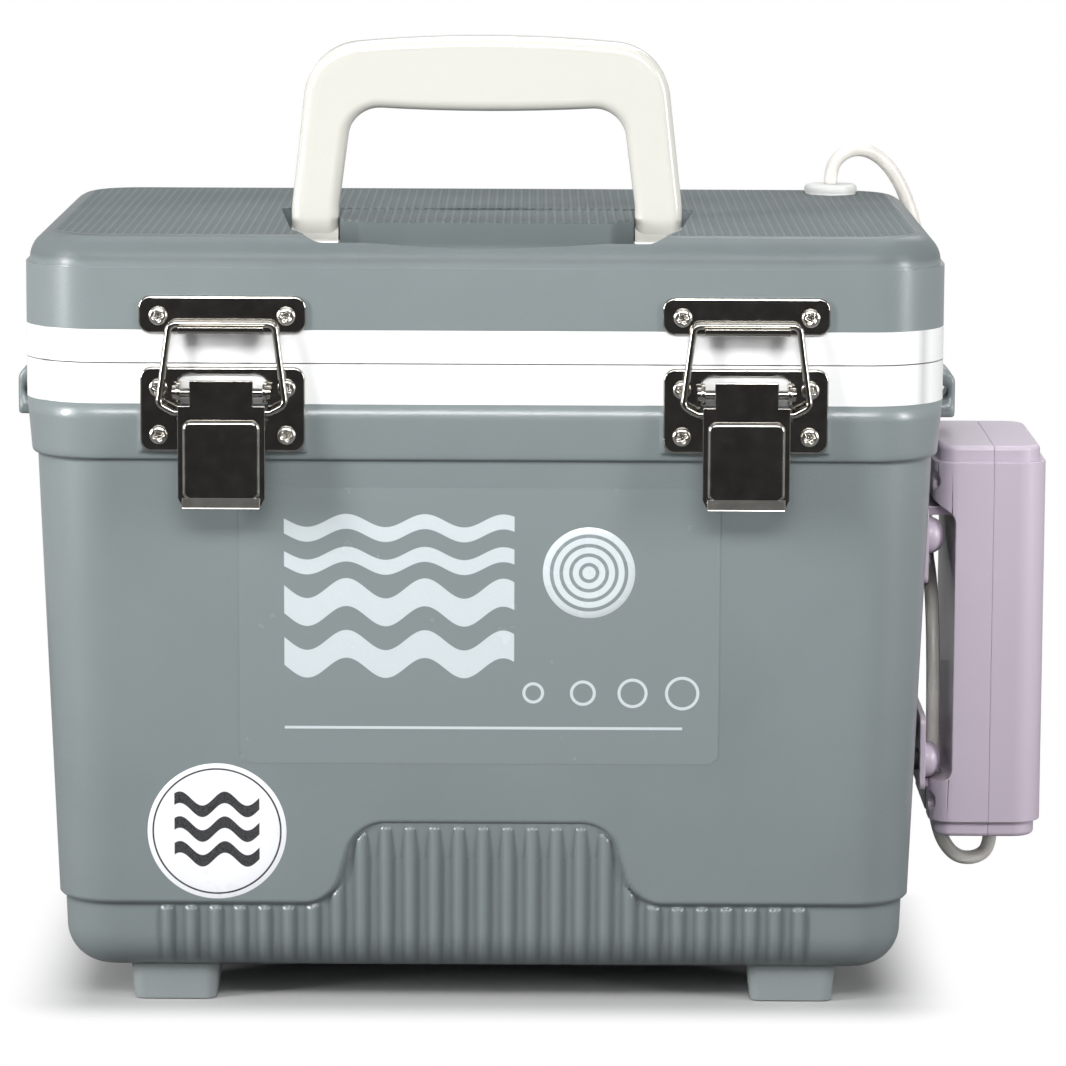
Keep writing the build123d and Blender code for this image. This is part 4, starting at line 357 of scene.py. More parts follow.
def milky_vinyl():
    """Clear vinyl gone milky: it lets some light through and is a little uneven."""
    colour = (0.80, 0.775, 0.725)
    material, tree, shader, place = new_finish(
        "milky_vinyl", colour, 0.32, IOR=1.45, Transmission_Weight=0.2, Coat_Weight=0.25
    )
    tint(tree, shader, colour, cloudy(tree, place, 90.0, 3.0, 0.90, 1.08))
    grain(tree, shader, cloudy(tree, place, 700.0, 2.0, 0.0, 1.0), 0.00006)
    return material


HOSE_RADIUS = 0.0024
vinyl = milky_vinyl()


def put_hose(kind, route):
    """A tube along a route, in place of the CAD hose."""
    line = route_points(route)
    tube = put_mesh(kind + "_tube", *tube_skin(line, HOSE_RADIUS), vinyl)
    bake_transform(tube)
    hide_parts(kind + "_hose")


AIR_HOSE_ROUTE = [
    (0.1756, -0.0225, 0.0478),
    (0.1756, -0.0225, 0.0414),
    (0.1708, -0.0224, 0.0376),
    (0.1642, -0.0223, 0.0379),
    (0.1594, -0.0223, 0.0432),
    (0.1569, -0.0224, 0.0510),
    (0.1554, -0.0225, 0.0615),
    (0.1552, -0.0222, 0.0770),
    (0.1553, -0.0200, 0.0990),
    (0.1553, -0.0130, 0.1210),
    (0.1553, 0.0020, 0.1335),
    (0.1554, 0.0210, 0.1380),
    (0.1562, 0.0390, 0.1500),
    (0.1576, 0.0560, 0.1700),
    (0.1586, 0.0720, 0.1960),
    (0.1586, 0.0836, 0.2230),
    (0.1554, 0.0878, 0.2460),
    (0.1492, 0.0861, 0.2636),
    (0.1418, 0.0833, 0.2734),
    (0.1336, 0.0805, 0.2772),
    (0.1268, 0.0786, 0.2750),
    (0.1230, 0.0775, 0.2700),
    (0.1230, 0.0775, 0.2643),
]
put_hose(
    "air", AIR_HOSE_ROUTE
)


# ---------------------------------------------------------------- inner hose and air stone
# The same tubing drops from the fitting's stem to the air stone, a cylinder of coarse sintered
# grit that lies on the tub's floor.
INNER_HOSE_ROUTE = [
    (0.1230, 0.0775, 0.2126),
    (0.1230, 0.0775, 0.2030),
    (0.1206, 0.0720, 0.1820),
    (0.1166, 0.0620, 0.1500),
    (0.1120, 0.0526, 0.1220),
    (0.1050, 0.0436, 0.0960),
    (0.0940, 0.0360, 0.0730),
    (0.0800, 0.0306, 0.0560),
    (0.0630, 0.0284, 0.0498),
    (0.0460, 0.0284, 0.0498),
]
put_hose(
    "inner", INNER_HOSE_ROUTE
)


def dress(names, material):
    """Gives CAD nodes a material in place of their own."""
    for name in names:
        slots = node[name].data.materials
        slots.clear()
        slots.append(material)


def sintered_grit():
    """Blue-grey glass grit fused into a porous stick."""
    colour = (0.22, 0.30, 0.40)
    material, tree, shader, place = new_finish("sintered_grit", colour, 0.85)
    grit = add_node(tree, "ShaderNodeTexVoronoi", Vector=place, Scale=900.0)
    tint(tree, shader, colour, cloudy(tree, place, 1400.0, 2.0, 0.6, 1.5))
    grain(tree, shader, grit.outputs["Distance"], 0.0004)
    return material


dress(["air_stone"], sintered_grit())


# ---------------------------------------------------------------- outer tub
# Injection-moulded grey skin. Its walls lean in towards the foot, where a ribbed band lies
# behind them, with an arch on each long side. Latch plates and hinges sit on flat pads.
MM = 0.001
WALL_SPAN_X = 123.3
WALL_SPAN_Y = 73.3
CORNER_UNDER_COLLAR = 26.0
DRAFT_SLOPE = 0.04016
TUB_FOOT = 12.0
COLLAR_FOOT = 186.7
COLLAR_TOP = 205.6
RIM_SPAN_X = 125.5
RIM_SPAN_Y = 75.5
RIM_CORNER = 27.0
COLLAR_SLOPE = 1.6 / 18.9
FOOT_ROUND = 15.0
BAND_IN = 2.0
BAND_TOP = 35.8
ARCH_TOP = 63.6
ARCH_FOOT_HALF = 50.6
ARCH_TOP_HALF = 42.6
ARCH_ROUND = 9.0
RIB_PITCH = 8.15
RIB_HALF = 1.95
RIB_SHY = 0.5
RIBS_EACH_WAY = 13
TUB_WALL = 2.6
LATCH_X = 85.9
LATCH_PAD = (27.1, 189.8)
HINGE_X = 86.0
HINGE_PAD = (21.0, 195.0)
CORNER_TURNS = 14
MARKS_PER_RIB = 10
HALF_MARKS = int(WALL_SPAN_X * MARKS_PER_RIB / RIB_PITCH)
X_MARKS = np.arange(-HALF_MARKS, HALF_MARKS + 1) * (RIB_PITCH / MARKS_PER_RIB) / WALL_SPAN_X
Y_MARKS = np.linspace(-1, 1, 24)
GREY = (0.174, 0.202, 0.206)
GRIME_SHADE = 0.42


def ramp(value, start, end):
    """Smooth step: nought up to the start, one from the end on, and level at both."""
    t = np.clip((value - start) / (end - start), 0.0, 1.0)
    return t * t * (3.0 - 2.0 * t)


def arch_depth(x, z):
    """How far a point lies inside the band, measured from its outline: the distance to the
    union of the low band and the arch's trapezoid, with circular fillets where they meet
    and at the trapezoid's top corners."""
    slope = (ARCH_FOOT_HALF - ARCH_TOP_HALF) / (ARCH_TOP - BAND_TOP)
    top = z - ARCH_TOP
    flank = (np.abs(x) - ARCH_FOOT_HALF + slope * (z - BAND_TOP)) / np.hypot(1.0, slope)
    r = ARCH_ROUND
    round_top = np.hypot(np.maximum(r + top, 0), np.maximum(r + flank, 0))
    arch = np.minimum(-r, np.maximum(top, flank)) + round_top
    band = z - BAND_TOP
    round_foot = np.hypot(np.maximum(r - arch, 0), np.maximum(r - band, 0))
    return -(np.maximum(r, np.minimum(arch, band)) - round_foot)


def base_curve(z, step):
    """Inset of a face that lies a step behind the wall: it bends in under the tub on a quarter
    circle whose radius is shorter by the step, so that all of them meet underneath."""
    r = FOOT_ROUND - step
    over = np.clip(TUB_FOOT + r - z, 0.0, r)
    return step + r - np.sqrt(np.maximum(r * r - over * over, 0.0))


def tub_ring(span_x, span_y, radius, inset, level):
    """One level of the tub: a rounded rectangle, as a straight run at the marks and a quarter
    circle for each side, moved in by an inset that may differ from point to point."""
    quarter = np.linspace(0, pi / 2, CORNER_TURNS + 2)[1:-1]
    span = np.array([span_x, span_y])
    places, outwards = [], []
    sides = ((X_MARKS, (1, 0), (0, -1)), (Y_MARKS, (0, 1), (1, 0)))
    sides += ((X_MARKS, (-1, 0), (0, 1)), (Y_MARKS, (0, -1), (-1, 0)))
    for marks, along, out in sides:
        places += [np.outer(marks, along) + out, np.full((CORNER_TURNS, 2), np.add(along, out))]
        turned = np.outer(np.sin(quarter), along) + np.outer(np.cos(quarter), out)
        outwards += [np.full((len(marks), 2), out), turned]
    place = np.vstack(places) * span
    reach = radius - inset(*place.T)
    moved = place + np.vstack(outwards) * reach[:, None]
    return np.column_stack([moved, np.full(len(place), float(level))])


def eased(tree, value, share, amount):
    """A value, plus an amount times a share from nought to one."""
    return number(tree, "ADD", value, number(tree, "MULTIPLY", share, amount))


def moulded_grey():
    """Grey moulded plastic: cloudy flow marks, a fine spark-eroded grain, and grime where the
    piece's groove attribute is high."""
    material, tree, shader, place = new_finish(
        "moulded_grey", GREY, 0.33, Coat_Weight=0.3, Coat_Roughness=0.2
    )
    groove = add_node(tree, "ShaderNodeAttribute", attribute_name="groove").outputs["Fac"]
    grime = eased(tree, 1.0, groove, -GRIME_SHADE)
    clouds = cloudy(tree, place, 16.0, 6.0, 0.95, 1.06)
    tint(tree, shader, GREY, number(tree, "MULTIPLY", clouds, grime))
    tree.links.new(cloudy(tree, place, 14.0, 4.0, 0.29, 0.35), shader.inputs["Roughness"])
    grain(tree, shader, cloudy(tree, place, 1500.0, 3.0, 0.0, 1.0), 0.00003)
    return material


def front_or_back(x, y):
    """One on the long walls' straight runs, nought on the ends and round the corners."""
    return (np.abs(y) > WALL_SPAN_Y - 0.01) & (np.abs(x) < WALL_SPAN_X - 0.3)


def body_inset(level):
    """Inset of the wall at a level: the band's step along its outline, and the ribs on it."""

    def inset(x, y):
        long_side = front_or_back(x, y)
        deep = np.where(long_side, arch_depth(x, level), BAND_TOP - level)
        in_band = ramp(deep, -0.8, 0.6)
        inset_here = base_curve(level, 0.0) * (1 - in_band) + base_curve(level, BAND_IN) * in_band
        from_rib = np.abs(x - RIB_PITCH * np.round(x / RIB_PITCH))
        crest = np.clip(1 - (from_rib / RIB_HALF) ** 2.2, 0, 1) ** 0.6
        ribbed = long_side & (np.abs(x) < (RIBS_EACH_WAY + 0.5) * RIB_PITCH)
        crest = crest * ribbed * ramp(deep, 0.4, 2.0)
        return inset_here - (base_curve(level, BAND_IN) - base_curve(level, RIB_SHY)) * crest

    return inset


def collar_inset(level):
    """Inset of the collar at a level: it leans in downwards, but not on the flat pads."""

    def inset(x, y):
        lean = (COLLAR_TOP - level) * COLLAR_SLOPE
        off_latch = np.maximum(np.abs(np.abs(x) - LATCH_X) - LATCH_PAD[0], LATCH_PAD[1] - level)
        off_hinge = np.maximum(np.abs(np.abs(x) - HINGE_X) - HINGE_PAD[0], HINGE_PAD[1] - level)
        off_pad = np.where(y < 0, off_latch, off_hinge)
        flat = (np.abs(y) > RIM_SPAN_Y - 0.01) & (off_pad < 0)
        return np.where(flat, 0.0, lean)

    return inset


def no_inset(x, y):
    """Nought at every point."""
    return np.zeros_like(x)


foot_levels = TUB_FOOT + FOOT_ROUND * (1 - np.cos(np.linspace(0.06, pi / 2, 14)))
band_levels = np.arange(27.8, 66.5, 0.75)
wall_levels = [72, 90, 120, 150, 175, 185.2, COLLAR_FOOT]
rings = []
for level in np.concatenate([[TUB_FOOT], foot_levels, band_levels, wall_levels]):
    corner = CORNER_UNDER_COLLAR - DRAFT_SLOPE * (COLLAR_FOOT - level)
    rings.append(tub_ring(WALL_SPAN_X, WALL_SPAN_Y, corner, body_inset(level), level))
# The collar's lower edge is rounded: how far each ring rises over its foot and lies back.
for rise, back in ((0.0, 1.2), (0.16, 0.6), (0.6, 0.16), (1.2, 0.0)):
    level = COLLAR_FOOT + rise
    edge = RIM_CORNER - COLLAR_SLOPE * (COLLAR_TOP - level) - back
    rings.append(tub_ring(RIM_SPAN_X, RIM_SPAN_Y, edge, no_inset, level))
# Two levels close together at the foot of each flat pad keep the pad's edge crisp.
for level in (189.6, 189.9, 194.9, 195.2, 200.0, COLLAR_TOP):
    rings.append(tub_ring(RIM_SPAN_X, RIM_SPAN_Y, RIM_CORNER, collar_inset(level), level))
# Down the inside, out of sight: each level, and how far in it lies from the collar's outside.
inner_levels = ((COLLAR_TOP, TUB_WALL + 2), (COLLAR_FOOT, TUB_WALL + 3), (70.0, TUB_WALL + 6))
for level, thick in inner_levels + ((30.0, 13.0),):
    rings.append(tub_ring(RIM_SPAN_X, RIM_SPAN_Y, RIM_CORNER - thick, no_inset, level))
rings.append(rings[-1] * [0.9, 0.9, 0.0] + [0, 0, TUB_FOOT + TUB_WALL + 1])
tub_points, tub_faces = loft_rings(rings)
grey = moulded_grey()
tub_skin = put_mesh("tub_skin", tub_points * MM, tub_faces, grey)


def groove_share(points):
    """How much grime each point holds: one along the foot of each rib and just under the
    band's outline, nought on the ribs' crests and on the walls above."""
    x, y, z = points.T
    long_side = (np.abs(y) > WALL_SPAN_Y + 8.0) & (np.abs(x) < WALL_SPAN_X)
    deep = np.where(long_side, arch_depth(x, z), BAND_TOP - z)
    from_rib = np.abs(x - RIB_PITCH * np.round(x / RIB_PITCH))
    ribbed = long_side & (np.abs(x) < (RIBS_EACH_WAY + 0.5) * RIB_PITCH)
    at_foot = ramp(from_rib, 1.1, 2.0) * (1 - 0.75 * ramp(from_rib, 2.1, 3.4))
    between = at_foot * ribbed * ramp(deep, -0.2, 0.5) * ramp(z, 11.0, 17.0)
    under_step = ramp(deep, -0.5, 0.4) * (1 - ramp(deep, 0.6, 2.4))
    return np.maximum(between, 0.8 * under_step)


groove = tub_skin.data.attributes.new("groove", "FLOAT", "POINT")
groove.data.foreach_set("value", groove_share(tub_points))
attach(tub_skin, "tub")
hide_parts("outer_tub")


# ---------------------------------------------------------------- strap lugs
# A rounded ear at each end of the collar, moulded in one with the tub's skin. A bore through it
# takes the hook of a carrying strap.
LUG_BORE = 2.6
LUG_HALF = 11.0
LUG_LOW = 190.6
LUG_HIGH = 207.6
LUG_OUT = 162.0
LUG_ROOT = 152.8
LUG_MID = 157.25
LUG_EDGE = 0.8
LUG_POINTS = 72
LUG_CUT = (40, 6.9)
LUG_ROUNDNESS = 14


def eye_outline(angle):
    """Distance from the bore to the lug's outline along a direction: the nearest of its five
    straight edges, each a line given by its outward direction and its distance. A p-norm of
    the inverse distances rounds the corners."""
    middle = (LUG_LOW + LUG_HIGH) / 2
    edges = (
        (0.0, LUG_OUT - LUG_MID),
        (pi, LUG_MID - LUG_ROOT),
        (-pi / 2, middle - LUG_LOW),
        (pi / 2, LUG_HIGH - middle),
        (radians(LUG_CUT[0]), LUG_CUT[1]),
    )
    inverse = np.zeros_like(angle)
    for direction, distance in edges:
        inverse += np.maximum(np.cos(angle - direction) / distance, 0.0) ** LUG_ROUNDNESS
    return inverse ** (-1.0 / LUG_ROUNDNESS)


def eye_block(x_sign):
    """A plate with a bore along Y: for each angle round the bore a loop of points runs through
    the bore, over the back, along the outline and over the front."""
    angle = np.linspace(0, 2 * pi, LUG_POINTS, endpoint=False)
    bore = np.full(LUG_POINTS, LUG_BORE)
    outline = eye_outline(angle)
    face = outline - LUG_EDGE
    side = LUG_HALF - LUG_EDGE
    loop = [(bore, LUG_HALF), (bore, -LUG_HALF), (face, -LUG_HALF)]
    loop += [(outline, -side), (outline, side), (face, LUG_HALF)]
    rings = []
    for reach, y in loop + loop[:1]:
        x = x_sign * (LUG_MID + reach * np.cos(angle))
        z = (LUG_LOW + LUG_HIGH) / 2 + reach * np.sin(angle)
        rings.append(np.column_stack([x, np.full(LUG_POINTS, y), z]))
    return loft_rings(rings, close_first=False, close_last=False)


def joined(pieces):
    """Several sets of points and faces as one."""
    points, faces, start = [], [], 0
    for some_points, some_faces in pieces:
        points.append(some_points)
        faces += [[start + k for k in face] for face in some_faces]
        start += len(some_points)
    return np.vstack(points), faces


def face_outwards(piece):
    """Merges doubles and turns every face outwards."""
    mesh = bmesh.new()
    mesh.from_mesh(piece.data)
    bmesh.ops.remove_doubles(mesh, verts=mesh.verts, dist=1e-7)
    bmesh.ops.recalc_face_normals(mesh, faces=mesh.faces)
    mesh.to_mesh(piece.data)
    mesh.free()
    piece.data.update()


lug_points, lug_faces = joined([eye_block(1), eye_block(-1)])
lugs = put_mesh("strap_lugs", lug_points * MM, lug_faces, grey)
face_outwards(lugs)
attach(lugs, "tub")


# ---------------------------------------------------------------- stickers
# Three vinyl stickers on the front wall: a clear film with pale ripples and beads, a round
# white one with a dark ripple, and a small pale one with rings.
FILM_LEFT, FILM_RIGHT = -81.2, 78.2
FILM_LOW, FILM_HIGH = 84.2, 177.5
FILM_LIFT = 0.10
FILM_CORNER = 3.0
FILM_CELLS = 40
WHITE_DISC = (-88.9, 60.8, 23.2)
PALE_DISC = (34.8, 149.2, 15.4)


def wall_front(z, lift):
    """Depth of the front wall at a level, moved out by a lift."""
    return -(WALL_SPAN_Y + CORNER_UNDER_COLLAR - DRAFT_SLOPE * (COLLAR_FOOT - z)) - lift


def film_patch():
    """A rectangle with rounded corners that lies on the wall: rows and columns of a grid, with
    each row's ends drawn in near the top and the foot along a quarter circle."""
    marks = np.linspace(-1, 1, FILM_CELLS + 1)
    u, v = np.meshgrid(marks, marks, indexing="ij")
    half_x = (FILM_RIGHT - FILM_LEFT) / 2
    half_z = (FILM_HIGH - FILM_LOW) / 2
    over = np.maximum(np.abs(v) * half_z - (half_z - FILM_CORNER), 0.0)
    drawn = FILM_CORNER - np.sqrt(FILM_CORNER**2 - over**2)
    x = (FILM_LEFT + FILM_RIGHT) / 2 + u * (half_x - drawn)
    z = (FILM_LOW + FILM_HIGH) / 2 + v * half_z
    points = np.stack([x, wall_front(z, FILM_LIFT), z], axis=-1).reshape(-1, 3)
    i, j = np.meshgrid(np.arange(FILM_CELLS), np.arange(FILM_CELLS), indexing="ij")
    row = FILM_CELLS + 1
    a = (i * row + j).ravel()
    return points, np.column_stack([a, a + row, a + row + 1, a + 1]).tolist()


def disc_patch(middle_x, middle_z, radius, lift):
    """A disc that lies on the wall: rings round its middle."""
    sweep = np.linspace(0, 2 * pi, 96, endpoint=False)
    rings = []
    for share in (0.02, 0.35, 0.7, 0.985, 1.0):
        x = middle_x + radius * share * np.cos(sweep)
        z = middle_z + radius * share * np.sin(sweep)
        back = lift if share < 1 else 0.0
        rings.append(np.column_stack([x, wall_front(z, back), z]))
    return loft_rings(rings, close_last=False)


def ripple(tree, parts, level, swing, length, half, left, right):
    """Ink of a wavy line: one where the height lies within half a line's width of a sine of the
    place across, between a left and a right end."""
    wave = number(tree, "SINE", number(tree, "MULTIPLY", parts["X"], 2 * pi / length))
    middle = number(tree, "ADD", number(tree, "MULTIPLY", wave, swing), level)
    off = number(tree, "ABSOLUTE", number(tree, "SUBTRACT", parts["Z"], middle))
    line = soft_mask(tree, off, half + INK_BLUR, half)
    ends = number(tree, "ABSOLUTE", number(tree, "SUBTRACT", parts["X"], (left + right) / 2))
    inside = soft_mask(tree, ends, (right - left) / 2 + INK_BLUR, (right - left) / 2)
    return number(tree, "MULTIPLY", line, inside)


def bead(tree, parts, x, z, radius, half):
    """Ink of a ring round a point: one where the distance differs little from the radius."""
    squares = [
        number(tree, "POWER", number(tree, "SUBTRACT", parts[axis], middle), 2.0)
        for axis, middle in (("X", x), ("Z", z))
    ]
    reach = number(tree, "SQRT", number(tree, "ADD", *squares))
    off = number(tree, "ABSOLUTE", number(tree, "SUBTRACT", reach, radius))
    return soft_mask(tree, off, half + INK_BLUR, half)


def sticker_material(name, paper, ink_colour, roughness, marks):
    """Printed vinyl: marks are functions that each give one mark's ink from the tree and the
    split coordinates, and the strongest ink at a point counts."""
    material, tree, shader, place = new_finish(
        name, paper, roughness, Coat_Weight=0.4, Coat_Roughness=0.12
    )
    parts = split(tree, place)
    ink = 0.0
    for mark in marks:
        ink = number(tree, "MAXIMUM", mark(tree, parts), ink)
    worn = number(tree, "MULTIPLY", ink, cloudy(tree, place, 1800.0, 4.0, 0.93, 1.0))
    colour = mixed_colour(tree, worn, (*paper, 1.0), (*ink_colour, 1.0))
    tree.links.new(colour, shader.inputs["Base Color"])
    gloss = cloudy(tree, place, 80.0, 6.0, roughness - 0.05, roughness + 0.08)
    tree.links.new(gloss, shader.inputs["Roughness"])
    grain(tree, shader, cloudy(tree, place, 240.0, 3.0, 0.0, 1.0), 0.00003)
    return material


def put_sticker(name, patch, paper, ink_colour, roughness, marks):
    """A printed patch that goes with the tub."""
    points, faces = patch
    print_finish = sticker_material(name + "_print", paper, ink_colour, roughness, marks)
    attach(put_mesh(name, points * MM, faces, print_finish), "tub")


INK_BLUR = 0.0002
PANEL_LEFT, PANEL_RIGHT, RULE_RIGHT = -0.066, 0.010, 0.066
PANEL_WAVE = 0.026
# Level, swing and half width of each ripple on the film.
PANEL_RIPPLES = (
    (0.1640, 0.0022, 0.0024),
    (0.1530, 0.0022, 0.0024),
    (0.1390, 0.0034, 0.0046),
    (0.1215, 0.0034, 0.0046),
)
film_marks = [
    partial(
        ripple, level=level, swing=swing, length=PANEL_WAVE, half=half,
        left=PANEL_LEFT, right=PANEL_RIGHT,
    )
    for level, swing, half in PANEL_RIPPLES
]
film_marks.append(partial(
    ripple, level=0.0965, swing=0.0, length=PANEL_WAVE, half=0.00035,
    left=PANEL_LEFT, right=RULE_RIGHT,
))
film_marks += [
    partial(bead, x=0.066 - 0.0165 * k, z=0.1085, radius=0.0052 - 0.0007 * k, half=0.0004)
    for k in range(4)
]
white_marks = [
    partial(
        ripple, level=0.0700 - 0.0085 * k, swing=0.0024, length=0.0150, half=0.0019,
        left=-0.1030, right=-0.0748,
    )
    for k in range(3)
] + [partial(bead, x=-0.0889, z=0.0608, radius=0.0213, half=0.0002)]
pale_marks = [
    partial(bead, x=0.0348, z=0.1492, radius=0.0028 + 0.0032 * k, half=0.0005) for k in range(4)
]
film_paper, film_ink = (0.190, 0.220, 0.224), (0.53, 0.58, 0.60)
white_paper, white_ink = (0.80, 0.81, 0.85), (0.012, 0.012, 0.013)
pale_paper, pale_ink = (0.56, 0.61, 0.63), (0.20, 0.235, 0.24)
put_sticker("clear_film", film_patch(), film_paper, film_ink, 0.20, film_marks)
put_sticker("white_disc", disc_patch(*WHITE_DISC, 0.16), white_paper, white_ink, 0.3, white_marks)
put_sticker("pale_disc", disc_patch(*PALE_DISC, 0.22), pale_paper, pale_ink, 0.25, pale_marks)


# ---------------------------------------------------------------- tub foam and lid foam
# Rigid urethane foam that insulates the box. It is poured between each skin and its liner and
# sets there, so none of it shows.
def plain_finish(name, colour, roughness, mottle, scale, depth, swing=0.06, **settings):
    """A moulded or cast finish: a little lighter and darker in patches, with its own grain and
    an uneven gloss."""
    material, tree, shader, place = new_finish(name, colour, roughness, **settings)
    tint(tree, shader, colour, cloudy(tree, place, 22.0, 6.0, 1 - mottle, 1 + mottle))
    gloss = cloudy(tree, place, 60.0, 7.0, roughness - swing, roughness + swing)
    tree.links.new(gloss, shader.inputs["Roughness"])
    grain(tree, shader, cloudy(tree, place, scale, 3.0, 0.0, 1.0), depth)
    return material


foam = plain_finish("urethane_foam", (0.74, 0.66, 0.42), 0.85, 0.12, 700.0, 0.0004)
dress(["tub_foam", "lid_foam"], foam)


# ---------------------------------------------------------------- white liner and lid rim
# White moulded plastic: the liner with its hollow rim, and the lid's underside with its plug.
# A ring of grey rubber in a groove of the underside seals the two.
RIM_SIDE = 0.1440
RIM_FRONT = 0.0940
RIM_BLEND = 0.0035
# Painted shade: inside the outer band the white is darkened to this share of its full colour.
INNER_PAINTED_SHADE = 0.66


def opened(material):
    """A finish's tree, its shader, the output that feeds its colour, and x, y and z."""
    tree = material.node_tree
    shader = next(found for found in tree.nodes if found.type == "BSDF_PRINCIPLED")
    colour = shader.inputs["Base Color"].links[0].from_socket
    place = add_node(tree, "ShaderNodeTexCoord").outputs["Object"]
    return tree, shader, colour, split(tree, place)


def liner_white():
    """The rim's white, with a painted shade inside the outer band: full where x or y lies past the
    band's inner line, and INNER_PAINTED_SHADE of it inside both lines."""
    material = plain_finish("rim_white", (0.74, 0.745, 0.74), 0.36, 0.01, 1500.0, 0.000008, 0.03)
    tree, shader, plain, parts = opened(material)
    side = number(tree, "ABSOLUTE", parts["X"])
    front = number(tree, "ABSOLUTE", parts["Y"])
    band = number(
        tree, "MAXIMUM",
        soft_mask(tree, side, RIM_SIDE, RIM_SIDE + RIM_BLEND),
        soft_mask(tree, front, RIM_FRONT, RIM_FRONT + RIM_BLEND),
    )
    tint(tree, shader, plain, eased(tree, INNER_PAINTED_SHADE, band, 1.0 - INNER_PAINTED_SHADE))
    return material


dress(["inner_liner", "lid_liner"], liner_white())
rubber = plain_finish("gasket_rubber", (0.30, 0.31, 0.31), 0.65, 0.08, 900.0, 0.00005)
dress(["lid_gasket"], rubber)


# ---------------------------------------------------------------- feet
# Four hollow feet, moulded by themselves in a lighter grey plastic than the skin and welded
# under the tub's corners.
feet = ["foot_front_left", "foot_front_right", "foot_back_left", "foot_back_right"]
dress(feet, plain_finish("foot_plastic", (0.245, 0.272, 0.275), 0.5, 0.06, 1100.0, 0.00005))


# ---------------------------------------------------------------- lid skin
# Grey moulded top with a crowned edge and a pocket for the handle. The mould leaves rows of
# fine raised dots on the flat panels beside the pocket.
DOT_PITCH = 0.0029
PLATEAU_CORNER = 0.0195
PLATEAU_HALF_X = 0.1440
PLATEAU_HALF_Y = 0.0950
PLATEAU_STRAIGHT = (PLATEAU_HALF_X - PLATEAU_CORNER, PLATEAU_HALF_Y - PLATEAU_CORNER, 1.0)
CROWN_START, CROWN_END = 0.2505, 0.2535
TOP_START, TOP_END = 0.2600, 0.2604
# Painted shade and highlight: the flat top's colour is darker, the crown's band darker still, and
# the dots' tops a little lighter.
PANEL_PAINTED_SHADE = 0.36
CROWN_PAINTED_SHADE = 0.28
DOT_PAINTED_HIGHLIGHT = 0.24
DOT_HEIGHT = 0.8
CREASE_DEPTH = 0.9


def lid_grey():
    """The tub's grey, with rows of raised dots on the flat top, inside a fine crease. The dots
    scatter the light, so the top is duller than the walls; its colour is darker too, a painted
    shade, with a painted highlight on the dots and a painted shade on the crown's band. The
    distance inside the top is the corner's radius less what the point lies beyond the rectangle
    of the corners' centres."""
    material, tree, shader, place = new_finish("lid_grey", GREY, 0.33, Coat_Roughness=0.2)
    parts = split(tree, place)
    across, along = (
        number(tree, "COSINE", number(tree, "MULTIPLY", parts[axis], 2 * pi / DOT_PITCH))
        for axis in "XY"
    )
    dots = soft_mask(tree, eased(tree, across, along, 0.6), -0.2, 0.9)
    beyond = beyond_rectangle(tree, place, PLATEAU_STRAIGHT)
    inside = number(tree, "SUBTRACT", PLATEAU_CORNER, beyond)
    level = soft_mask(tree, parts["Z"], TOP_START, TOP_END)
    panel = number(tree, "MULTIPLY", soft_mask(tree, inside, 0.0012, 0.0018), level)
    raised = number(tree, "MULTIPLY", dots, panel)
    crown = soft_mask(tree, parts["Z"], CROWN_START, CROWN_END)
    gloss = eased(tree, cloudy(tree, place, 14.0, 4.0, 0.29, 0.35), panel, 0.34)
    tree.links.new(gloss, shader.inputs["Roughness"])
    tree.links.new(eased(tree, 0.5, crown, -0.38), shader.inputs["Specular IOR Level"])
    tree.links.new(eased(tree, 0.45, crown, -0.45), shader.inputs["Coat Weight"])
    crease = number(tree, "MULTIPLY", soft_mask(tree, inside, -0.0005, 0.0007), level)
    fine = cloudy(tree, place, 1500.0, 3.0, 0.0, 0.06)
    relief = eased(tree, number(tree, "MULTIPLY", raised, DOT_HEIGHT), crease, -CREASE_DEPTH)
    grain(tree, shader, number(tree, "ADD", fine, relief), 0.0005)
    # Painted shade: darker colour on the flat top and on the crown's band, and a painted highlight
    # on the dots' tops.
    mottle_and_painted_shade = eased(tree, cloudy(tree, place, 16.0, 6.0, 0.95, 1.06), panel, -PANEL_PAINTED_SHADE)
    edge = number(tree, "MULTIPLY", crown, number(tree, "SUBTRACT", 1.0, panel))
    mottle_and_painted_shade = eased(tree, mottle_and_painted_shade, edge, -CROWN_PAINTED_SHADE)
    tint(tree, shader, GREY, eased(tree, mottle_and_painted_shade, raised, DOT_PAINTED_HIGHLIGHT))
    return material


dress(["lid_shell"], lid_grey())


# ---------------------------------------------------------------- handle and its pins
# Off-white moulded plastic handle that folds forward into the lid's pocket. Two headed steel
# pins in the block's walls carry its legs.
dress(["handle"], plain_finish(
    "handle_cream", (0.53, 0.525, 0.483), 0.26, 0.008, 1500.0, 0.000004, 0.012, Coat_Weight=0.4
))
pin_steel = plain_finish("pin_steel", (0.55, 0.55, 0.54), 0.3, 0.1, 800.0, 0.00003, Metallic=1.0)
dress(["handle_pins"], pin_steel)


# ---------------------------------------------------------------- latches
# Draw latches pressed from sheet steel and plated a dark nickel. A wire bail hooks over the
# keeper on the lid, and the lever's pull is what squeezes the gasket.
PLATE_FACE = -103.8
PLATE_ROUND = 0.75
LEVER_ROUND = 0.3
OTHER_EDGES = 0.15
SCREW_SPREAD = 20.95
KEEPER_SCREW_Z = (234.7,)
BASE_SCREW_Z = (195.4, 210.9)
SHARP = radians(34)
FLAT = radians(0.6)
HOLE_REACH = 3.0


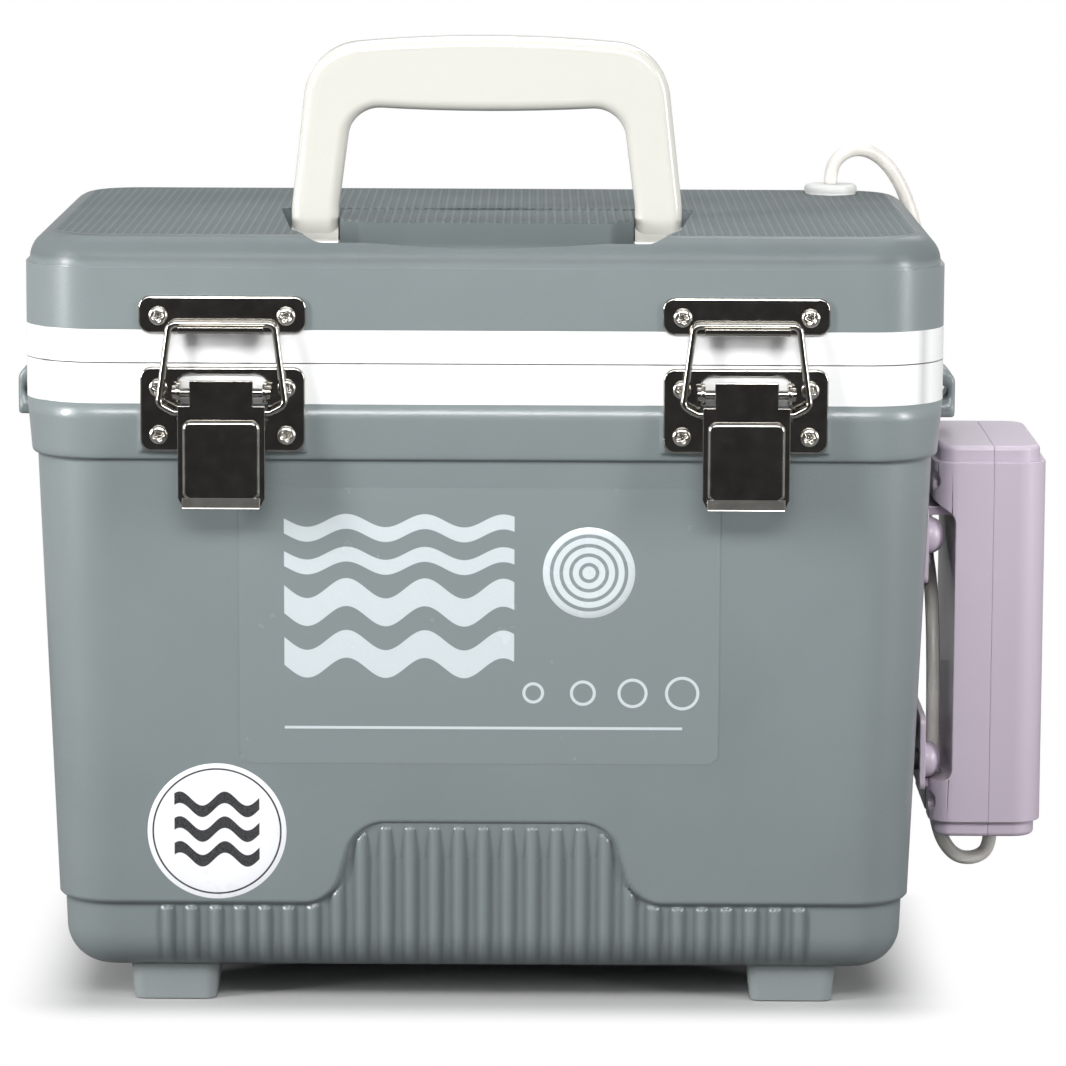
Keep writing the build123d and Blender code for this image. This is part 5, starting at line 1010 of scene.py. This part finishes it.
def dark_nickel():
    """Dark nickel plating: smoky mirror with fine drawn lines and cloudy polish."""
    colour = (0.40, 0.385, 0.355)
    material, tree, shader, place = new_finish("dark_nickel", colour, 0.13, Metallic=1.0)
    tint(tree, shader, colour, cloudy(tree, place, 150.0, 5.0, 0.88, 1.14))
    tree.links.new(cloudy(tree, place, 260.0, 6.0, 0.09, 0.17), shader.inputs["Roughness"])
    drawn = add_node(tree, "ShaderNodeMapping", Vector=place, Scale=(1.0, 1.0, 0.08))
    lines = add_node(tree, "ShaderNodeTexNoise", Vector=drawn.outputs["Vector"], Scale=900.0)
    grain(tree, shader, lines.outputs["Fac"], 0.000008)
    return material


def softened(name, body, material, width, front=None, holes=()):
    """A CAD node's mesh, copied, its triangles merged into whole faces, and its sharp edges
    rounded by a bevel. Where a front level is given, the edges that lie on it are rounded
    to the full width and all others to a small share of it."""
    mesh = bmesh.new()
    mesh.from_mesh(node[name].data)
    bmesh.ops.remove_doubles(mesh, verts=mesh.verts, dist=1e-6)
    bmesh.ops.dissolve_limit(mesh, angle_limit=FLAT, verts=mesh.verts, edges=mesh.edges)
    weights = mesh.edges.layers.float.new("bevel_weight_edge")
    for edge in mesh.edges:
        turn = edge.calc_face_angle(0.0)
        ends = [vertex.co for vertex in edge.verts]
        on_front = front is None or all(abs(end.y - front * MM) < 2e-5 for end in ends)
        at_hole = any(
            max(np.hypot(end.x - x * MM, end.z - z * MM) for end in ends) < HOLE_REACH * MM
            for x, z in holes
        )
        bevelled = edge.is_convex and turn > SHARP and not at_hole
        edge[weights] = (1.0 if on_front else OTHER_EDGES) if bevelled else 0.0
        edge.smooth = edge[weights] > 0.0 or turn < SHARP
    for face in mesh.faces:
        turns = [edge.calc_face_angle(0.0) for edge in face.edges]
        face.smooth = any(FLAT < turn < SHARP for turn in turns)
    data = bpy.data.meshes.new(name + "_soft")
    mesh.to_mesh(data)
    mesh.free()
    data.materials.append(material)
    made = bpy.data.objects.new(name + "_soft", data)
    scene.collection.objects.link(made)
    rounding = made.modifiers.new("rounding", "BEVEL")
    rounding.width = width * MM
    rounding.segments = 3
    rounding.limit_method = "WEIGHT"
    rounding.harden_normals = True
    rounding.use_clamp_overlap = False
    settle = made.modifiers.new("flat_faces", "WEIGHTED_NORMAL")
    settle.weight = 80
    settle.keep_sharp = True
    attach(made, body)
    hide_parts(name)


nickel = dark_nickel()
screw_across = [x + s * SCREW_SPREAD for x in (-LATCH_X, LATCH_X) for s in (-1, 1)]
keeper_holes = [(x, z) for x in screw_across for z in KEEPER_SCREW_Z]
base_holes = [(x, z) for x in screw_across for z in BASE_SCREW_Z]
plates = (("latch_keeper_", "lid", keeper_holes), ("latch_base_", "tub", base_holes))
for side in ("left", "right"):
    for name, body, holes in plates:
        softened(name + side, body, nickel, PLATE_ROUND, PLATE_FACE, holes)
    softened("latch_lever_" + side, "lever_" + side, nickel, LEVER_ROUND)
    dress(["latch_bail_" + side, "latch_pin_" + side], nickel)


# ---------------------------------------------------------------- latch screws
# Nickel-plated steel screws with a pan head and a pressed cross recess. Their shanks run
# through the latch plates into the lid and the tub.
HEAD_RADIUS = 3.1
HEAD_HEIGHT = 1.7
SHANK_RADIUS = 1.5
KEEPER_SCREW_LENGTH = 5.5
BASE_SCREW_LENGTH = 3.6
FIRST_TURN, NEXT_TURN = 17.0, 47.0
# Of the recess: each arm's half width and reach over the head's radius, and its depth over the
# head's height.
ARM_HALF, ARM_REACH, RECESS_DEPTH = 0.15, 0.66, 0.62


def cross_head(seat, out, radius, height, shank, length, turn):
    """A pan head: rings whose height follows a flattened dome, less a cross whose depth fades
    from the middle to the arms' ends, and a shank below. The profile runs from the crown's
    middle outwards, down the side and in under the head, and the shank closes it."""
    sweep = np.linspace(0, 2 * pi, 72, endpoint=False)
    profile = [(r, height * (1 - 0.42 * r**4)) for r in np.linspace(0.04, 0.9, 18)]
    profile += [(0.965, 0.5 * height), (1.0, 0.36 * height), (1.0, 0.08 * height), (0.985, 0.0)]
    shank_out = shank / radius
    profile += [(shank_out, 0.0), (shank_out, -length + 1.0), (shank_out * 0.4, -length)]
    rings = []
    for r, rise in profile:
        x = radius * r * np.cos(sweep)
        y = radius * r * np.sin(sweep)
        arm = np.minimum(np.abs(x), np.abs(y)) / (ARM_HALF * radius)
        reach = np.hypot(x, y) / (ARM_REACH * radius)
        recess = np.clip(1.6 - arm, 0, 1) * np.clip(2.2 * (1 - reach), 0, 1)
        sink = RECESS_DEPTH * height * recess if rise > 0.5 * height else 0.0
        rings.append(np.column_stack([x, y, rise - sink + 0 * x]))
    points, faces = loft_rings(rings)
    out = Vector(out).normalized()
    face_turn = out.to_track_quat("Z", "Y").to_matrix()
    turned = np.array((face_turn @ Matrix.Rotation(radians(turn), 3, "Z")).to_3x3())
    return points @ turned.T + np.array(seat), faces


def screw_set(name, body, node_name, holes, length):
    """The latch screws that one CAD node holds, each turned its own way."""
    heads = [
        cross_head(
            (x, PLATE_FACE, z), (0, -1, 0), HEAD_RADIUS, HEAD_HEIGHT, SHANK_RADIUS, length,
            FIRST_TURN + NEXT_TURN * count,
        )
        for count, (x, z) in enumerate(holes)
    ]
    points, faces = joined(heads)
    made = put_mesh(name, points * MM, faces, screw_nickel)
    face_outwards(made)
    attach(made, body)
    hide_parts(node_name)


screw_nickel = plain_finish(
    "screw_nickel", (0.66, 0.64, 0.60), 0.18, 0.12, 900.0, 0.00001, Metallic=1.0
)
screw_set("keeper_screw_heads", "lid", "keeper_screws", keeper_holes, KEEPER_SCREW_LENGTH)
screw_set("base_screw_heads", "tub", "latch_base_screws", base_holes, BASE_SCREW_LENGTH)


# ---------------------------------------------------------------- hinges
# Two butt hinges on the back, pressed from sheet steel and plated like the latches. Screws
# hold their leaves to the lid and the tub.
for side in ("left", "right"):
    dress([piece + side for piece in ("hinge_lid_leaf_", "hinge_tub_leaf_", "hinge_pin_")], nickel)
dress(["hinge_lid_screws", "hinge_tub_screws"], screw_nickel)


# ---------------------------------------------------------------- hose fitting
# Turned pale nylon fitting with a black seal under its flange, clamped through the lid by a
# washer underneath.
SEAL_TOP = 0.2616
SEAL_BLEND = 0.0001
SEAL_BLACK = (0.02, 0.02, 0.02, 1.0)


def sealed_nylon():
    """Pale nylon above the seal's top, and black rubber below it."""
    material = plain_finish("fitting_nylon", (0.58, 0.585, 0.57), 0.34, 0.03, 1000.0, 0.00002)
    tree, shader, plain, parts = opened(material)
    above = soft_mask(tree, parts["Z"], SEAL_TOP, SEAL_TOP + SEAL_BLEND)
    tree.links.new(mixed_colour(tree, above, SEAL_BLACK, plain), shader.inputs["Base Color"])
    return material


dress(["hose_fitting"], sealed_nylon())
washer = plain_finish("washer_nylon", (0.72, 0.725, 0.70), 0.34, 0.03, 1000.0, 0.00002)
dress(["fitting_washer"], washer)


# ---------------------------------------------------------------- air pump
# A lilac two-part case, screwed together and carried on two tabs. A door slides up off two
# cells, and a small motor drives the diaphragm through a crank.
CASE_ROUND = 0.35
lilac = plain_finish(
    "lilac_case", (0.475, 0.408, 0.486), 0.36, 0.02, 1500.0, 0.00001, 0.02, Coat_Weight=0.15
)
for name, body in (
    ("pump_back_shell", "tub"), ("pump_front_shell", "tub"), ("battery_door", "battery_door")
):
    softened(name, body, lilac, CASE_ROUND)
dress(["pump_screws"], lilac)
dress(["pump_case_screws"], screw_nickel)

# Nodes, then the finish: its name, colour, roughness, mottle, grain's scale and depth, metal.
INSIDE_FINISHES = (
    (["pump_standoffs"], "sleeve_rubber", (0.02, 0.02, 0.02), 0.6, 0.1, 900.0, 0.00005, 0.0),
    (["pump_switch"], "switch_black", (0.03, 0.03, 0.032), 0.4, 0.1, 900.0, 0.00005, 0.0),
    (["battery_spring", "battery_top_contact"],
     "spring_brass", (0.62, 0.50, 0.28), 0.3, 0.1, 700.0, 0.00003, 1.0),
    (["battery_cells"], "cell_jacket", (0.06, 0.10, 0.22), 0.35, 0.1, 300.0, 0.00003, 0.0),
    (["pump_head", "motor_saddles"],
     "works_nylon", (0.62, 0.62, 0.60), 0.5, 0.05, 900.0, 0.00005, 0.0),
    (["pump_diaphragm"], "diaphragm_rubber", (0.05, 0.05, 0.05), 0.6, 0.1, 900.0, 0.00005, 0.0),
    (["motor_crank"], "crank_nylon", (0.75, 0.74, 0.70), 0.45, 0.05, 900.0, 0.00004, 0.0),
    (["pump_motor"], "motor_can", (0.60, 0.60, 0.60), 0.35, 0.08, 500.0, 0.00004, 1.0),
)
for names, finish, colour, roughness, mottle, scale, depth, metal in INSIDE_FINISHES:
    dress(names, plain_finish(finish, colour, roughness, mottle, scale, depth, Metallic=metal))
